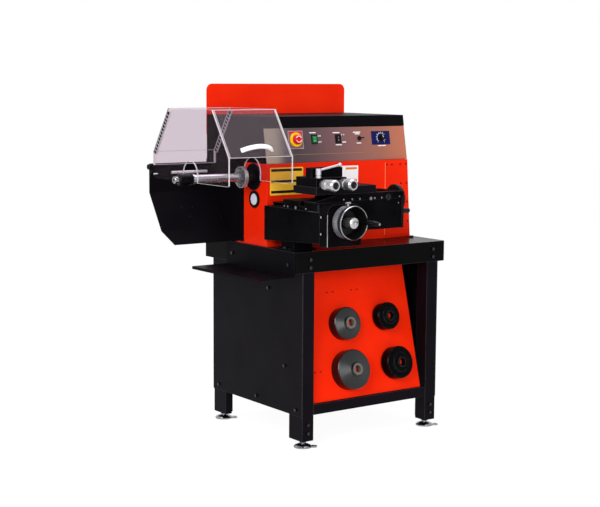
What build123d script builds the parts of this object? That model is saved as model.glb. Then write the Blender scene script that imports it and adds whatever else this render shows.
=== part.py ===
"""Bench brake lathe on a steel stand, built as separate jointed pieces.

Positions are measured in millimetres from the front left corner of the stand on the floor:
X to the right, Y to the back, Z up. The finished pieces are shifted at the end so that the
origin lies on the floor under the middle of the whole machine.
"""
import os
from math import atan2, cos, degrees, hypot, radians, sin, tan

from build123d import *

os.makedirs("parts", exist_ok=True)

# Clearances
slide_gap = 0.2
turn_gap = 0.3
bore_gap = 0.05
hole_gap = 0.3

# Stand and table
stand_w = 700.0
stand_d = 660.0
table_z = 800.0
table_t = 6.0
skirt_t = 5.0
skirt_h = 85.0
over_side = 37.0
over_back = 15.0
leg_bottom = 30.0
leg_side = 92.0
leg_front = 55.0
leg_return = 62.0
leg_lip = 31.0
leg_t = 5.0
plate_t = 8.0
panel_t = 3.0
panel_bottom = 131.0
rail_low = 135.0
rail_top = 177.0
rail_d = 34.0
foot_in_x = 27.0
foot_in_y = 34.0
foot_r = 37.0
stem_r = 8.0
lug_reach = 47.0
lug_angle = -37.0
anchor_r = 6.0

# Tool shelf on the left side
shelf_z = table_z - 97.0
shelf_out = -209.0
shelf_len = 500.0

# Leaning rack with four pegs
rack_lean = 14.7
rack_y = 14.0
rack_left = leg_front + 3.0
rack_right = stand_w - 71.0
rack_len = 628.0
peg_r = 12.0

# Headstock box, cover and panel
head_left = -27.0
head_right = stand_w + 22.0
head_right_top = stand_w + 1.0
head_front = 216.0
head_proud = 208.0
head_back = stand_d + over_back
head_top = table_z + 336.0
head_wall = 4.0
bend_a = stand_w - 251.0
bend_b = stand_w - 126.0
cover_right = stand_w + 12.0
cover_top = head_top + 189.0
cover_t = 3.0
panel_y = 221.0
panel_len = 145.0
panel_lean = 10.23
sign_top = cover_top + 130.0
sign_low = cover_top - 85.0
sign_t = 4.0

# Spindle and arbor
axis_y = 313.0
axis_z = head_top - 56.0
arbor_tip = -405.0
arbor_r = 15.0
tip_r = 14.0
journal_r = 22.0
flange_r = 55.0
flange_t = 5.0
cart_r = 50.0
cart_end = 195.0
bell_x = -70.0
bell_r = 44.0
nut_left = -387.0
nut_right = -324.0
nut_r = 23.0
spacer_r = 18.0
washer_left = -324.0
washer_right = -318.0

# Drive inside the headstock
pulley_left = 206.0
pulley_right = 234.0
pulley_r = 75.0
motor_y = 430.0
motor_z = table_z + 105.0
motor_r = 72.0
motor_pulley_r = 25.0
belt_t = 5.0

# Work lamp
lamp_y = axis_y - 9.0
lamp_z = axis_z - 92.0
lamp_r = 35.0
lens_r = 23.5

# Chip guard and clear shield
guard_left = -336.0
guard_t = 3.0
guard_top = head_top - 10.0
guard_back = 631.0
guard_bend = guard_top - 121.0
guard_path = [(guard_back, guard_top), (guard_back, guard_bend)]
guard_path += [(533.0, guard_bend - 152.0), (426.0, table_z + 6.0)]
pivot_y = guard_back - 15.0
pivot_z = guard_top - 13.0
pivot_r = 5.0
stop_y = 610.3
stop_z = guard_top - 39.0
stop_r = 6.0
stop_left = -240.0
stop_right = -68.0
shield_left = -331.0
shield_right = -32.0
shield_t = 5.0
shield_low = axis_z - 12.0
shield_bend = axis_z + 97.0
shield_top = axis_z + 278.0
shield_half_low = 287.0
shield_half_top = 166.0
shield_mid = axis_y + 4.0
arch_rise = 31.0

# Lower slide along Y
bed_left = -40.0
bed_right = 123.0
bed_front = -159.0
bed_top = table_z + 170.0
bed_low_back = table_z + 31.0
bed_low_front = table_z + 51.0
knee_front = 60.0
knee_back = 146.0
knee_bolt_y = 108.0
block_front = -210.0
block_low = table_z + 41.0
block_top = bed_top + 34.0
slide_x = (bed_left + bed_right) / 2
wheel_z = bed_top - 34.0
tail_h = 14.0
tail_half = 36.0
tail_flare = 7.0
saddle_back = 85.0
saddle_top = bed_top + 36.0
screw_y_r = 8.0
wheel_r = 66.0
wheel_d = 61.0
grip_reach = 55.0
grip_end = -352.0

# Upper slide along X
xbed_left = 80.0
xbed_right = 406.0
xbed_front = -125.0
xbed_back = 35.0
xbed_top = saddle_top + 28.0
nose_back = -57.0
xbox_left = 135.0
xbox_low = saddle_top - 120.0
xbox_in = 6.0
screw_x_r = 7.0
screw_x_y = -45.0
screw_x_z = saddle_top - 9.0
channel_low = saddle_top - 20.0
xwheel_r = 58.0
xgrip_reach = 53.0
xgrip_end = 497.0
xgrip_r = 10.5

# Twin cutter
cut_left = -29.0
cut_right = 117.0
cut_front = -122.0
cut_back = 30.0
cut_mid = xbed_top + 30.0
cut_top = cut_mid + 36.0
cut_rear = 12.0
disc_slot_w = 24.0
disc_slot_end = -22.0
tool_end = 265.0
knob_z = cut_mid + 11.0
knob_r = 23.0
knob_len = 85.0
knob_half = 43.0
arm_half = 32.0
arm_w = 22.0
arm_low = cut_mid + 3.0
arm_h = 20.0
arm_back = 26.0
bar_front = -92.0
bar_back = -52.0
lever_x = -12.0
lever_y = -112.0

cut_mid_x = (cut_left + cut_right) / 2
table_left = -over_side
table_right = stand_w + over_side
table_back = stand_d + over_back
sign_back = head_back + sign_t
cap_end = grip_end - 4.0
shift_x = -(arbor_tip + table_right) / 2
shift_y = -(cap_end + sign_back) / 2
machine = Pos(shift_x, shift_y, 0)


def block(x0, x1, y0, y1, z0, z1):
    """Square-edged block between two corners."""
    body = Box(x1 - x0, y1 - y0, z1 - z0)
    return Pos((x0 + x1) / 2, (y0 + y1) / 2, (z0 + z1) / 2) * body


def rod_x(r, x0, x1, y, z):
    """Round bar along X."""
    return Pos((x0 + x1) / 2, y, z) * Rot(0, 90, 0) * Cylinder(r, x1 - x0)


def rod_y(r, x, y0, y1, z):
    """Round bar along Y."""
    return Pos(x, (y0 + y1) / 2, z) * Rot(90, 0, 0) * Cylinder(r, y1 - y0)


def rod_z(r, x, y, z0, z1):
    """Round bar along Z."""
    return Pos(x, y, (z0 + z1) / 2) * Cylinder(r, z1 - z0)


def prism_x(points, x0, x1):
    """Outline given as (y, z), drawn out along X."""
    outline = make_face(Polyline([(x0, y, z) for y, z in points], close=True))
    return extrude(outline, amount=x1 - x0, dir=(1, 0, 0))


def prism_y(points, y0, y1):
    """Outline given as (x, z), drawn out along Y."""
    outline = make_face(Polyline([(x, y0, z) for x, z in points], close=True))
    return extrude(outline, amount=y1 - y0, dir=(0, 1, 0))


def prism_z(points, z0, z1):
    """Outline given as (x, y), drawn out along Z."""
    outline = make_face(Polyline([(x, y, z0) for x, y in points], close=True))
    return extrude(outline, amount=z1 - z0, dir=(0, 0, 1))


def turned(points):
    """Outline given as (radius, height), turned about the upright axis."""
    outline = make_face(Polyline([(r, 0, z) for r, z in points], close=True))
    return revolve(outline, Axis.Z)


def along_x(x, y, z):
    """Placement that lays an upright turned piece along X."""
    return Pos(x, y, z) * Rot(0, 90, 0)


def toward_front(x, y, z):
    """Placement that points an upright turned piece to the front."""
    return Pos(x, y, z) * Rot(90, 0, 0)


def hexagon(across, height):
    """Hexagonal head standing on the floor plane."""
    return extrude(RegularPolygon(across / 2, 6, major_radius=False), amount=height)


def bolt(across, head, shank_r, length):
    """Hexagon bolt with its head above the joint plane and its shank below."""
    shank = Pos(0, 0, -length / 2) * Cylinder(shank_r, length)
    return hexagon(across, head) + shank


def offset_sheet(path, t):
    """Strip of sheet of thickness t on the inner side of a bent path given as (y, z)."""
    inner = []
    for i, (y, z) in enumerate(path):
        normals = []
        for a, b in ((i - 1, i), (i, i + 1)):
            if a < 0 or b >= len(path):
                continue
            dy = path[b][0] - path[a][0]
            dz = path[b][1] - path[a][1]
            reach = hypot(dy, dz)
            normals.append((dz / reach, -dy / reach))
        ny = sum(n[0] for n in normals) / len(normals)
        nz = sum(n[1] for n in normals) / len(normals)
        grow = t / (ny * ny + nz * nz)
        inner.append((y + ny * grow, z + nz * grow))
    return path + inner[::-1]


def save(node, *solids):
    """Shift the solids of one node to the machine origin and write them."""
    moved = [machine * s for s in solids]
    shape = moved[0] if len(moved) == 1 else Compound(children=moved)
    export_step(shape, f"parts/{node}.step")


# Table: one folded tray
skirt_low = table_z - skirt_h
under_table = table_z - table_t
tray = block(table_left, table_right, -skirt_t, table_back, skirt_low, table_z)
tray = fillet(tray.edges().filter_by(Axis.Z), 7)
tray -= block(table_left + skirt_t, table_right - skirt_t, 0, table_back - skirt_t, skirt_low, under_table)

# Bolts that hold the stand together: place, axis turn, grip
bolt_across = 13.0
bolt_head = 5.5
bolt_r = 4.0
front_bolts = [(x, z) for x in (30.0, stand_w - 30.0) for z in (table_z - 32, table_z - 64)]
leg_bolts = [(x, z) for x in (27.0, stand_w - 27.0) for z in (97.0, 62.0)]
leg_hole = (42.0, 155.0)
side_bolts = [leg_hole, (stand_d - leg_hole[0], leg_hole[1])]
side_bolts += [(326.0, 160.0), (122.0, 323.0), (240.0, 628.0)]
shelf_bolts = [(44.0, table_z - 53), (454.0, table_z - 48)]
fasteners = []
for x, z in front_bolts:
    fasteners.append(Pos(x, -skirt_t, z) * Rot(90, 0, 0) * bolt(bolt_across, bolt_head, bolt_r, 14))
    tray -= rod_y(bolt_r + hole_gap, x, -skirt_t, 0, z)
for y, z in shelf_bolts:
    fasteners.append(Pos(table_left - 3, y, z) * Rot(0, -90, 0) * bolt(bolt_across, bolt_head, bolt_r, 12))
    tray -= rod_x(bolt_r + hole_gap, table_left, table_left + skirt_t, y, z)

# Legs: four folded columns, open at the inner corner, with a foot plate
leg = block(0, leg_front, 0, leg_side, leg_bottom, under_table)
leg -= block(leg_t, leg_front - leg_t, leg_t, leg_side - leg_t, leg_bottom + plate_t, under_table)
leg -= block(leg_lip, leg_front, leg_return, leg_side, leg_bottom, under_table)
leg -= rod_z(stem_r + hole_gap, foot_in_x, foot_in_y, leg_bottom, leg_bottom + plate_t)
for x, z in front_bolts[:2] + leg_bolts[:2]:
    leg -= rod_y(bolt_r + hole_gap, x, 0, leg_t, z)
leg -= rod_x(bolt_r + hole_gap, 0, leg_t, *leg_hole)
mid_x = Plane.YZ.offset(stand_w / 2)
mid_y = Plane.XZ.offset(-stand_d / 2)
leg_right = mirror(leg, about=mid_x)
leg_back = mirror(leg, about=mid_y)
leg_back_right = mirror(leg_right, about=mid_y)
save("legs", leg, leg_right, leg_back, leg_back_right)

# Lower front rail: a channel between the legs
rail = block(leg_front, stand_w - leg_front, 0, rail_d, rail_low, rail_top)
rail -= block(leg_front, stand_w - leg_front, 4, rail_d, rail_low + 4, rail_top - 4)
save("front_rail", rail)

# Side and rear sheet panels on the outside of the legs
side = block(-panel_t, 0, 0, stand_d, panel_bottom, under_table)
side += block(0, 30, leg_side + 1, stand_d - leg_side - 1, panel_bottom, panel_bottom + panel_t)
for y, z in side_bolts:
    side -= rod_x(bolt_r + hole_gap, -panel_t, 0, y, z)
rear = block(-panel_t, stand_w + panel_t, stand_d, stand_d + panel_t, panel_bottom, under_table)
save("stand_panels", side, mirror(side, about=mid_x), rear)
for y, z in side_bolts:
    left_bolt = Pos(-panel_t, y, z) * Rot(0, -90, 0) * bolt(bolt_across, bolt_head, bolt_r, 14)
    fasteners += [left_bolt, mirror(left_bolt, about=mid_x)]
for x, z in leg_bolts:
    fasteners.append(Pos(x, 0, z) * Rot(90, 0, 0) * bolt(bolt_across, bolt_head, bolt_r, 12))

# Tool shelf: a flanged plate on the left skirt
shelf = block(shelf_out, table_left, 2, shelf_len, shelf_z - 3, shelf_z)
shelf += block(shelf_out, shelf_out + 3, 2, shelf_len, shelf_z - 12, shelf_z - 3)
shelf += block(table_left - 3, table_left, 2, shelf_len, shelf_z, table_z - 7)
for y, z in shelf_bolts:
    shelf -= rod_x(bolt_r + hole_gap, table_left - 3, table_left, y, z)
save("tool_shelf", shelf)

# Levelling feet with an anchor lug, stem and two lock nuts
foot = turned([(0, 0), (foot_r, 0), (foot_r, 5), (foot_r - 6, 10), (18, 15), (stem_r, 16), (0, 16)])
lug = block(0, lug_reach, -12, 12, 0, 6) + rod_z(12, lug_reach, 0, 0, 6)
foot += Rot(0, 0, lug_angle) * lug
foot -= Rot(0, 0, lug_angle) * rod_z(anchor_r, lug_reach, 0, 0, 16)
foot += rod_z(stem_r, 0, 0, 10, 92)
nut_low = hexagon(26, 9) - Cylinder(stem_r + 0.15, 40)
foot_spots = [
    (x, y)
    for x in (foot_in_x, stand_w - foot_in_x)
    for y in (foot_in_y, stand_d - foot_in_y)
]
save("levelling_feet", *[Pos(x, y, 0) * foot for x, y in foot_spots])
for x, y in foot_spots:
    fasteners.append(Pos(x, y, leg_bottom - 9) * nut_low)
    fasteners.append(Pos(x, y, leg_bottom + plate_t) * nut_low)

# Leaning rack with welded pegs; local y runs into the sheet, local z runs up it
rack_place = Pos(0, rack_y, rail_top) * Rot(-rack_lean, 0, 0)
rack = block(rack_left, rack_right, 0, 3, 1, rack_len)
rack += block(rack_left, rack_left + 3, 3, 28, 10, rack_len)
rack += block(rack_right - 3, rack_right, 3, 28, 10, rack_len)
for x, s in ((212, 442), (242, 442), (337, 442), (368, 442), (95, 123), (124, 123)):
    rack -= rod_y(3, x, 0, 3, s)
pegs = {
    "cone_small": (264.0, 305.0, 42.0),
    "cone_large": (259.0, 114.0, 48.0),
    "cup_small": (480.0, 315.0, 42.0),
    "cup_large": (500.0, 116.0, 46.0),
}
for x, s, reach in pegs.values():
    rack += rod_y(peg_r, x, -reach, 1, s)
save("rack_panel", rack_place * rack)

# Centring cones and cups that hang on the pegs
cone_bore = arbor_r + bore_gap


def cone(rim, band, height):
    """Convex cone with a cylindrical rim, a hollow back and a raised hub."""
    hub = 25.5
    return [
        (cone_bore, slide_gap), (hub, slide_gap), (hub, band * 0.5), (rim - 14, band * 0.5),
        (rim - 14, slide_gap), (rim, slide_gap), (rim, band - 3), (rim - 3, band),
        (hub + 4, height - 9), (hub, height - 9), (hub, height), (cone_bore, height),
    ]


def cup(rim, band, height):
    """Stepped cup with a flat rim step and a domed front."""
    hub = 21.0
    return [
        (cone_bore, slide_gap), (rim - 10, slide_gap), (rim, 8), (rim, band - 4), (rim - 4, band),
        (rim * 0.62, band + 2), (rim * 0.58, height - 6), (hub, height - 3), (hub, height),
        (cone_bore, height),
    ]


shapes = {
    "cone_small": cone(67, 45, 66),
    "cone_large": cone(82, 50, 74),
    "cup_small": cup(57, 50, 62),
    "cup_large": cup(68, 54, 68),
}
for node, (x, s, reach) in pegs.items():
    save(node, rack_place * toward_front(x, 0, s) * turned(shapes[node]))

# Headstock: a welded box with a stepped front
front_line = [(head_left, head_front), (bend_a, head_front), (bend_b, head_proud), (head_right, head_proud)]
plan = front_line + [(head_right, head_back), (head_left, head_back)]
w = head_wall
plan_in = [
    (head_left + w, head_front + w), (bend_a + w / 4, head_front + w), (bend_b + w / 4, head_proud + w),
    (head_right - w, head_proud + w), (head_right - w, head_back - w), (head_left + w, head_back - w),
]


def head_end(z, inset):
    """Place of the leaning right wall at a height, set in by a distance."""
    return head_right + (head_right_top - head_right) * (z - table_z) / (head_top - table_z) - inset


def head_hull(outline, inset):
    """Upright box over an outline, trimmed by the leaning right wall."""
    lean_line = [(head_left, table_z), (head_end(table_z, inset), table_z)]
    lean_line += [(head_end(head_top, inset), head_top), (head_left, head_top)]
    return prism_z(outline, table_z, head_top) & prism_y(lean_line, 0, head_back)


head = head_hull(plan, 0) - head_hull(plan_in, w)
head -= rod_x(cart_r + hole_gap, head_left, head_left + w, axis_y, axis_z)
head -= rod_x(31, head_left, head_left + w, lamp_y, lamp_z)

# Access panel on the proud part of the front, with its screws
door_t = 3.5
door_left = bend_b + 2
door_low = table_z + 12
door_top = head_top - 10
door_line = [(door_left, door_low), (head_end(door_low, 3), door_low)]
door_line += [(head_end(door_top, 3), door_top), (door_left, door_top)]
door = prism_y(door_line, head_proud - door_t, head_proud)
screw_rows = [head_top - d for d in (20, 103, 184, 268)]
door_screws = [(head_end(z, 12.5), z) for z in screw_rows] + [(head_end(z, 44), z) for z in screw_rows[:2]]
door_screws += [(door_left + d, screw_rows[0]) for d in (7, 36)]
for x, z in door_screws:
    button = turned([(0, 0), (4, 0), (4, 1.2), (2.6, 2.6), (0, 2.6)]) + Pos(0, 0, -5) * Cylinder(2, 10)
    fasteners.append(toward_front(x, head_proud - door_t, z) * button)
    door -= rod_y(2 + hole_gap, x, head_proud - door_t, head_proud, z)
    head -= rod_y(2 + hole_gap, x, head_proud, head_proud + w, z)
save("access_panel", door)

# Cover over the headstock with a leaning front
lean = radians(panel_lean)
front_back = panel_y + cover_t / cos(lean)
brow_z = head_top + panel_len
brow_y = panel_y + panel_len * tan(lean)
cover_line = [
    (front_back, head_top), (brow_y + cover_t / cos(lean), brow_z), (brow_y, brow_z),
    (brow_y + (cover_top - brow_z) * tan(lean), cover_top), (head_back, cover_top), (head_back, head_top),
]
inside_line = [
    (front_back + cover_t, head_top), (brow_y + 2.3 * cover_t, brow_z + 2),
    (brow_y + 11, cover_top - cover_t), (head_back - cover_t, cover_top - cover_t),
    (head_back - cover_t, head_top),
]
cover = prism_x(cover_line, head_left, cover_right)
cover -= prism_x(inside_line, head_left + cover_t, cover_right - cover_t)
board_place = Pos(0, panel_y, head_top) * Rot(-panel_lean, 0, 0)
cover -= board_place * block(60, 650, 2.5, 12, 20, 132)
save("head_cover", cover)

# Control board; local y runs into the board, local z runs up it
board = block(head_left + 3, cover_right - 4, 0, cover_t - 0.02, 1, panel_len - 1)
stop_x = 128.0
rocker_x = (223.0, 346.0)
toggle_x = 458.0
speed_x = 576.0
switch_s = 95.0
board -= rod_y(12, stop_x, 0, 3, switch_s)
for x in rocker_x:
    board -= block(x - 11, x + 11, 0, 3, switch_s - 15, switch_s + 15)
board -= rod_y(6.5, toggle_x, 0, 3, switch_s)
board -= rod_y(5, speed_x, 0, 3, switch_s)
save("control_board", board_place * board)

# Switch bodies clipped through the board
stop_body = block(stop_x - 38, stop_x + 38, -1.5, 0, switch_s - 38, switch_s + 38)
stop_body += rod_y(29, stop_x, -4.5, -1.5, switch_s)
stop_body += rod_y(11.7, stop_x, -1.5, 35, switch_s)
stop_body -= rod_y(8.6, stop_x, -4.5, 35, switch_s)
switches = [stop_body]
for x in rocker_x:
    frame = block(x - 15, x + 15, -3, 0, switch_s - 19, switch_s + 19)
    frame += block(x - 10.8, x + 10.8, 0, 20, switch_s - 14.8, switch_s + 14.8)
    frame -= block(x - 10.3, x + 10.3, -3, 16, switch_s - 14.3, switch_s + 14.3)
    switches.append(frame)
toggle_body = rod_y(9, toggle_x, -5, 0, switch_s) + rod_y(6.2, toggle_x, 0, 20, switch_s)
switches.append(toggle_body - rod_y(4, toggle_x, -5, 12, switch_s))
speed_body = rod_y(8, speed_x, -3, 0, switch_s) + rod_y(4.8, speed_x, 0, 16, switch_s)
switches.append(speed_body - rod_y(3.3, speed_x, -3, 16, switch_s))
save("switch_bodies", *[board_place * s for s in switches])

mushroom = turned([(0, -8), (8.2, -8), (8.2, 12), (20, 12), (20, 20), (16, 25), (0, 26)])
save("stop_button", board_place * toward_front(stop_x, 0, switch_s) * mushroom)

pivot_in = 3.0


def rocker(x):
    """Rocker key that tilts in its frame on a round barrel."""
    key = block(x - 10, x + 10, -5, pivot_in, switch_s - 13, switch_s + 13)
    return key + rod_x(5, x - 10, x + 10, pivot_in, switch_s)


save("power_rocker", board_place * rocker(rocker_x[0]))
save("feed_rocker", board_place * rocker(rocker_x[1]))
toggle_rest = 18.0
lever = Rot(90, 0, 0) * Cylinder(3, 5) + Pos(0, 0, 11) * Cylinder(2.2, 22) + Pos(0, 0, 22) * Sphere(3)
toggle_place = Pos(toggle_x, -3, switch_s) * Rot(0, 0, toggle_rest) * Rot(90, 0, 0)
save("toggle_lever", board_place * toggle_place * lever)
dial = turned([(0, -12), (3, -12), (3, 4), (14, 4), (14, 8), (11, 22), (0, 22)])
save("speed_knob", board_place * toward_front(speed_x, 0, switch_s) * dial)

# Board on the back of the cover
sign = block(head_left, cover_right, head_back, sign_back, sign_low, sign_top)
top_corners = sign.edges().filter_by(Axis.Y).group_by(Axis.Z)[-1]
save("sign_board", fillet(top_corners, 28))

# Spindle cartridge with its front flange and two bearings
cartridge = rod_x(flange_r, head_left - flange_t, head_left, axis_y, axis_z)
cartridge += rod_x(cart_r, head_left, cart_end, axis_y, axis_z)
cartridge -= rod_x(journal_r + 1, head_left - flange_t, cart_end, axis_y, axis_z)
seats = ((-20.0, 5.0), (165.0, 190.0))
bearing_r = 40.0
cartridge -= rod_x(bearing_r, seats[0][0], cart_end, axis_y, axis_z)
bearings = []
for a, b in seats:
    ring = rod_x(bearing_r - bore_gap, a, b, axis_y, axis_z)
    bearings.append(ring - rod_x(journal_r + bore_gap, a, b, axis_y, axis_z))
save("spindle_cartridge", cartridge)
save("spindle_bearings", *bearings)

# Arbor: working end, journal and pulley seat in one turned shaft
shoulder = head_left - flange_t - 3
shaft = [
    (0, arbor_tip), (tip_r - 2, arbor_tip), (tip_r, arbor_tip + 2), (tip_r, nut_left - 1),
    (arbor_r, nut_left - 1), (arbor_r, shoulder),
    (journal_r, shoulder), (journal_r, pulley_left), (18, pulley_left), (18, pulley_right + 4),
    (0, pulley_right + 4),
]
arbor = along_x(0, axis_y, axis_z) * turned(shaft)
arbor -= along_x(arbor_tip, axis_y, axis_z) * Pos(0, 0, 6) * Box(10, 10, 12)
save("arbor", arbor)
bell = [
    (cone_bore, bell_x - 8), (bell_r - 9, bell_x - 8), (bell_r - 4, bell_x - 24), (bell_r, bell_x - 24),
    (bell_r, bell_x - 10), (30, bell_x + 4), (26, bell_x + 8), (26, shoulder), (cone_bore, shoulder),
]
save("bell_clamp", along_x(0, axis_y, axis_z) * turned(bell))
spacer = rod_x(spacer_r, washer_right, bell_x - 8, axis_y, axis_z)
save("arbor_spacer", spacer - rod_x(arbor_r + turn_gap, washer_right, bell_x - 8, axis_y, axis_z))
washer = rod_x(nut_r - 1, washer_left, washer_right - slide_gap, axis_y, axis_z)
save("nut_washer", washer - rod_x(arbor_r + turn_gap, washer_left, washer_right, axis_y, axis_z))
nut = [
    (arbor_r + turn_gap, nut_left), (nut_r - 3, nut_left), (nut_r, nut_left + 5), (nut_r, nut_right - 14),
    (nut_r - 3, nut_right - 12), (nut_r - 3, nut_right - 8), (nut_r, nut_right - 6),
    (nut_r, nut_right - slide_gap), (arbor_r + turn_gap, nut_right - slide_gap),
]
save("arbor_nut", along_x(0, axis_y, axis_z) * turned(nut))

# Belt drive: spindle pulley, motor pulley with its shaft, belt and motor
big = [(18, pulley_left), (pulley_r, pulley_left), (pulley_r, pulley_right), (18, pulley_right)]
save("spindle_pulley", along_x(0, axis_y, axis_z) * turned(big))
small = [
    (0, pulley_left), (motor_pulley_r, pulley_left), (motor_pulley_r, pulley_right), (12, pulley_right),
    (12, pulley_right + 46), (0, pulley_right + 46),
]
save("motor_pulley", along_x(0, motor_y, motor_z) * turned(small))
centre_gap = hypot(motor_y - axis_y, motor_z - axis_z)
toward = degrees(atan2(motor_z - axis_z, motor_y - axis_y))


def loop(grow):
    """Outline round both pulleys, grown by a distance, in the plane across X."""
    a = pulley_r + grow
    b = motor_pulley_r + grow
    tilt = (a - b) / centre_gap
    up = (1 - tilt * tilt) ** 0.5
    corners = [(a * tilt, a * up), (centre_gap + b * tilt, b * up)]
    corners += [(x, -y) for x, y in corners[::-1]]
    flat = make_face(Polyline(corners, close=True))
    return flat + Circle(a) + Pos(centre_gap, 0) * Circle(b)


belt_face = loop(turn_gap + belt_t) - loop(turn_gap)
belt_plane = Plane(origin=(pulley_left + 3, axis_y, axis_z), x_dir=(0, 1, 0), z_dir=(1, 0, 0))
belt = extrude(belt_plane * Rot(0, 0, toward) * belt_face, amount=pulley_right - pulley_left - 6)
save("drive_belt", belt)
motor_left = pulley_right + 28
motor = rod_x(motor_r, motor_left, motor_left + 210, motor_y, motor_z)
motor += block(motor_left + 20, motor_left + 190, motor_y - 60, motor_y + 60, table_z, motor_z - 40)
motor -= rod_x(12 + turn_gap, motor_left, motor_left + 22, motor_y, motor_z)
save("drive_motor", motor)

# Work lamp set into the left wall
bezel = rod_x(lamp_r, head_left - 6, head_left, lamp_y, lamp_z)
bezel += rod_x(30.5, head_left, head_left + 22, lamp_y, lamp_z)
bezel -= rod_x(lens_r + slide_gap, head_left - 6, head_left + 19, lamp_y, lamp_z)
save("lamp_bezel", bezel)
save("lamp_lens", rod_x(lens_r, head_left - 5, head_left + 19, lamp_y, lamp_z))

# Chip guard: bent sheet, open on the left, with a plate against the headstock and a hinge lug
guard_right = head_left - guard_t
sheet = prism_x(offset_sheet(guard_path, guard_t), guard_left, head_left)
plate_front = axis_y + 72
plate_line = [(head_back, head_top), (head_back, guard_bend)] + guard_path[1:]
plate_line += [(plate_front, guard_path[-1][1]), (plate_front, head_top)]
lug_line = [(guard_back, guard_top), (guard_back, guard_top - 61), (guard_back - 29, guard_top - 31)]
lug_line += [(guard_back - 29, guard_top - 6), (guard_back - 23, guard_top)]
guard = sheet + prism_x(plate_line, guard_right, head_left)
guard += prism_x(lug_line, guard_left, guard_left + guard_t)
slope_lean = degrees(atan2(guard_path[1][1] - guard_path[2][1], guard_path[1][0] - guard_path[2][0]))
slope_place = Pos(0, guard_back, guard_bend) * Rot(slope_lean, 0, 0)
rivet = turned([(0, -guard_t), (2.5, -guard_t), (2.5, 0), (4.5, 0), (3.4, 1.6), (0, 2.2)])
for x, down in ((-206, 78), (-154, 78), (-180, 123)):
    fasteners.append(slope_place * Pos(x, -down, guard_t) * rivet)
    guard -= slope_place * rod_z(2.5 + bore_gap, x, -down, 0, guard_t)
guard -= block(guard_left + 19, guard_left + 41, guard_back - guard_t, guard_back, stop_z - 6, stop_z - 2)
for end in (guard_left, guard_right):
    guard -= rod_x(pivot_r + 0.1, end, end + guard_t, pivot_y, pivot_z)
guard_bolts = [(plate_front + 6, axis_z - 111), (plate_front + 6, table_z + 28)]
guard_rivets = [(guard_back - 52, guard_top - 18), (guard_back - 95, guard_top - 18)]
for y, z in guard_bolts + guard_rivets:
    head_t = 4 if (y, z) in guard_bolts else 1.4
    fasteners.append(Pos(guard_right, y, z) * Rot(0, -90, 0) * bolt(10, head_t, 3, 10))
    guard -= rod_x(3 + hole_gap, guard_right, head_left, y, z)
    head -= rod_x(3 + hole_gap, head_left, head_left + w, y, z)
save("chip_guard", guard)
save("headstock", head)

# Stop bar on two short stems in front of the sheet
stop_bar = rod_x(stop_r, stop_left, stop_right, stop_y, stop_z)
for x in (stop_left + 15, stop_right - 15):
    stop_bar += rod_y(4, x, stop_y, guard_back - guard_t, stop_z)
save("stop_bar", stop_bar)
pin_left = rod_x(pivot_r, guard_left, shield_left + shield_t + 5, pivot_y, pivot_z)
pin_left += rod_x(11, guard_left - 13, guard_left, pivot_y, pivot_z)
pin_right = rod_x(pivot_r, shield_right - shield_t - 6, head_left, pivot_y, pivot_z)
pin_right += rod_x(9, shield_right - shield_t - 10, shield_right - shield_t - 1, pivot_y, pivot_z)
save("hinge_pins", pin_left, pin_right)

# Clear shield: two gables and four panes of bonded sheet
low, bend, top = shield_low, shield_bend, shield_top
back_strip = pivot_z + 9
ear_y = pivot_y - 26


def gable_line(inset):
    """Gable outline as (y, z), set in by a distance on the sloping and flat edges."""
    wide = shield_half_low - inset
    slope = hypot(shield_half_low - shield_half_top, top - bend)
    drop = inset * (slope - (shield_half_low - shield_half_top)) / (top - bend)
    cut = inset * (slope - (top - bend)) / (shield_half_low - shield_half_top)
    narrow = shield_half_top - cut
    return [
        (shield_mid - wide, low), (shield_mid - wide, bend - drop), (shield_mid - narrow, top - inset),
        (shield_mid + narrow, top - inset), (shield_mid + wide, bend - drop), (shield_mid + wide, low),
    ]


ear_r = 10.0
ear = [
    (ear_y, pivot_z - 33), (ear_y, pivot_z + 25), (pivot_y, pivot_z + ear_r), (pivot_y, pivot_z - ear_r),
    (pivot_y - 11, pivot_z - 15), (pivot_y - 11, pivot_z - 33),
]
shield = prism_x(gable_line(0), shield_left, shield_right)
inner_left = shield_left + shield_t
inner_right = shield_right - shield_t
shield -= prism_x(gable_line(shield_t), inner_left, inner_right)
shield -= block(inner_left, inner_right, 0, shield_mid - shield_half_low + shield_t, low, bend)
shield -= block(inner_left, inner_right, ear_y, guard_back, low, back_strip)
shield -= block(shield_left, shield_right, pivot_y - 16, guard_back, low, back_strip)
shield += prism_x(ear, shield_left, inner_left) + prism_x(ear, inner_right, shield_right)
for a, b, r in ((shield_left, inner_left, 54.0), (inner_right, shield_right, 60.0)):
    shield += rod_x(ear_r, a, b, pivot_y, pivot_z)
    shield -= rod_x(r, a, b, axis_y, low + arch_rise)
    shield -= block(a, b, axis_y - r, axis_y + r, low, low + arch_rise)
    shield -= rod_x(pivot_r + turn_gap, a, b, pivot_y, pivot_z)
save("shield", shield)

# Bow handle on the sloping front pane; local y runs into the pane, local z runs up it
pane_lean = degrees(atan2(shield_half_low - shield_half_top, top - bend))
pane_place = Pos(0, shield_mid - shield_half_low, bend) * Rot(-pane_lean, 0, 0)
bow_left = -262.0
bow_right = -118.0
bow_mid = (bow_left + bow_right) / 2
bow_path = ThreePointArc((bow_left, 1, 32), (bow_mid, -30, 32), (bow_right, 1, 32))
bow = sweep(Plane(origin=bow_path @ 0, z_dir=bow_path % 0) * Rectangle(9, 16), path=bow_path)
bow -= block(bow_left - 20, bow_right + 20, 0, 20, 0, 80)
save("shield_handle", pane_place * bow)

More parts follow.
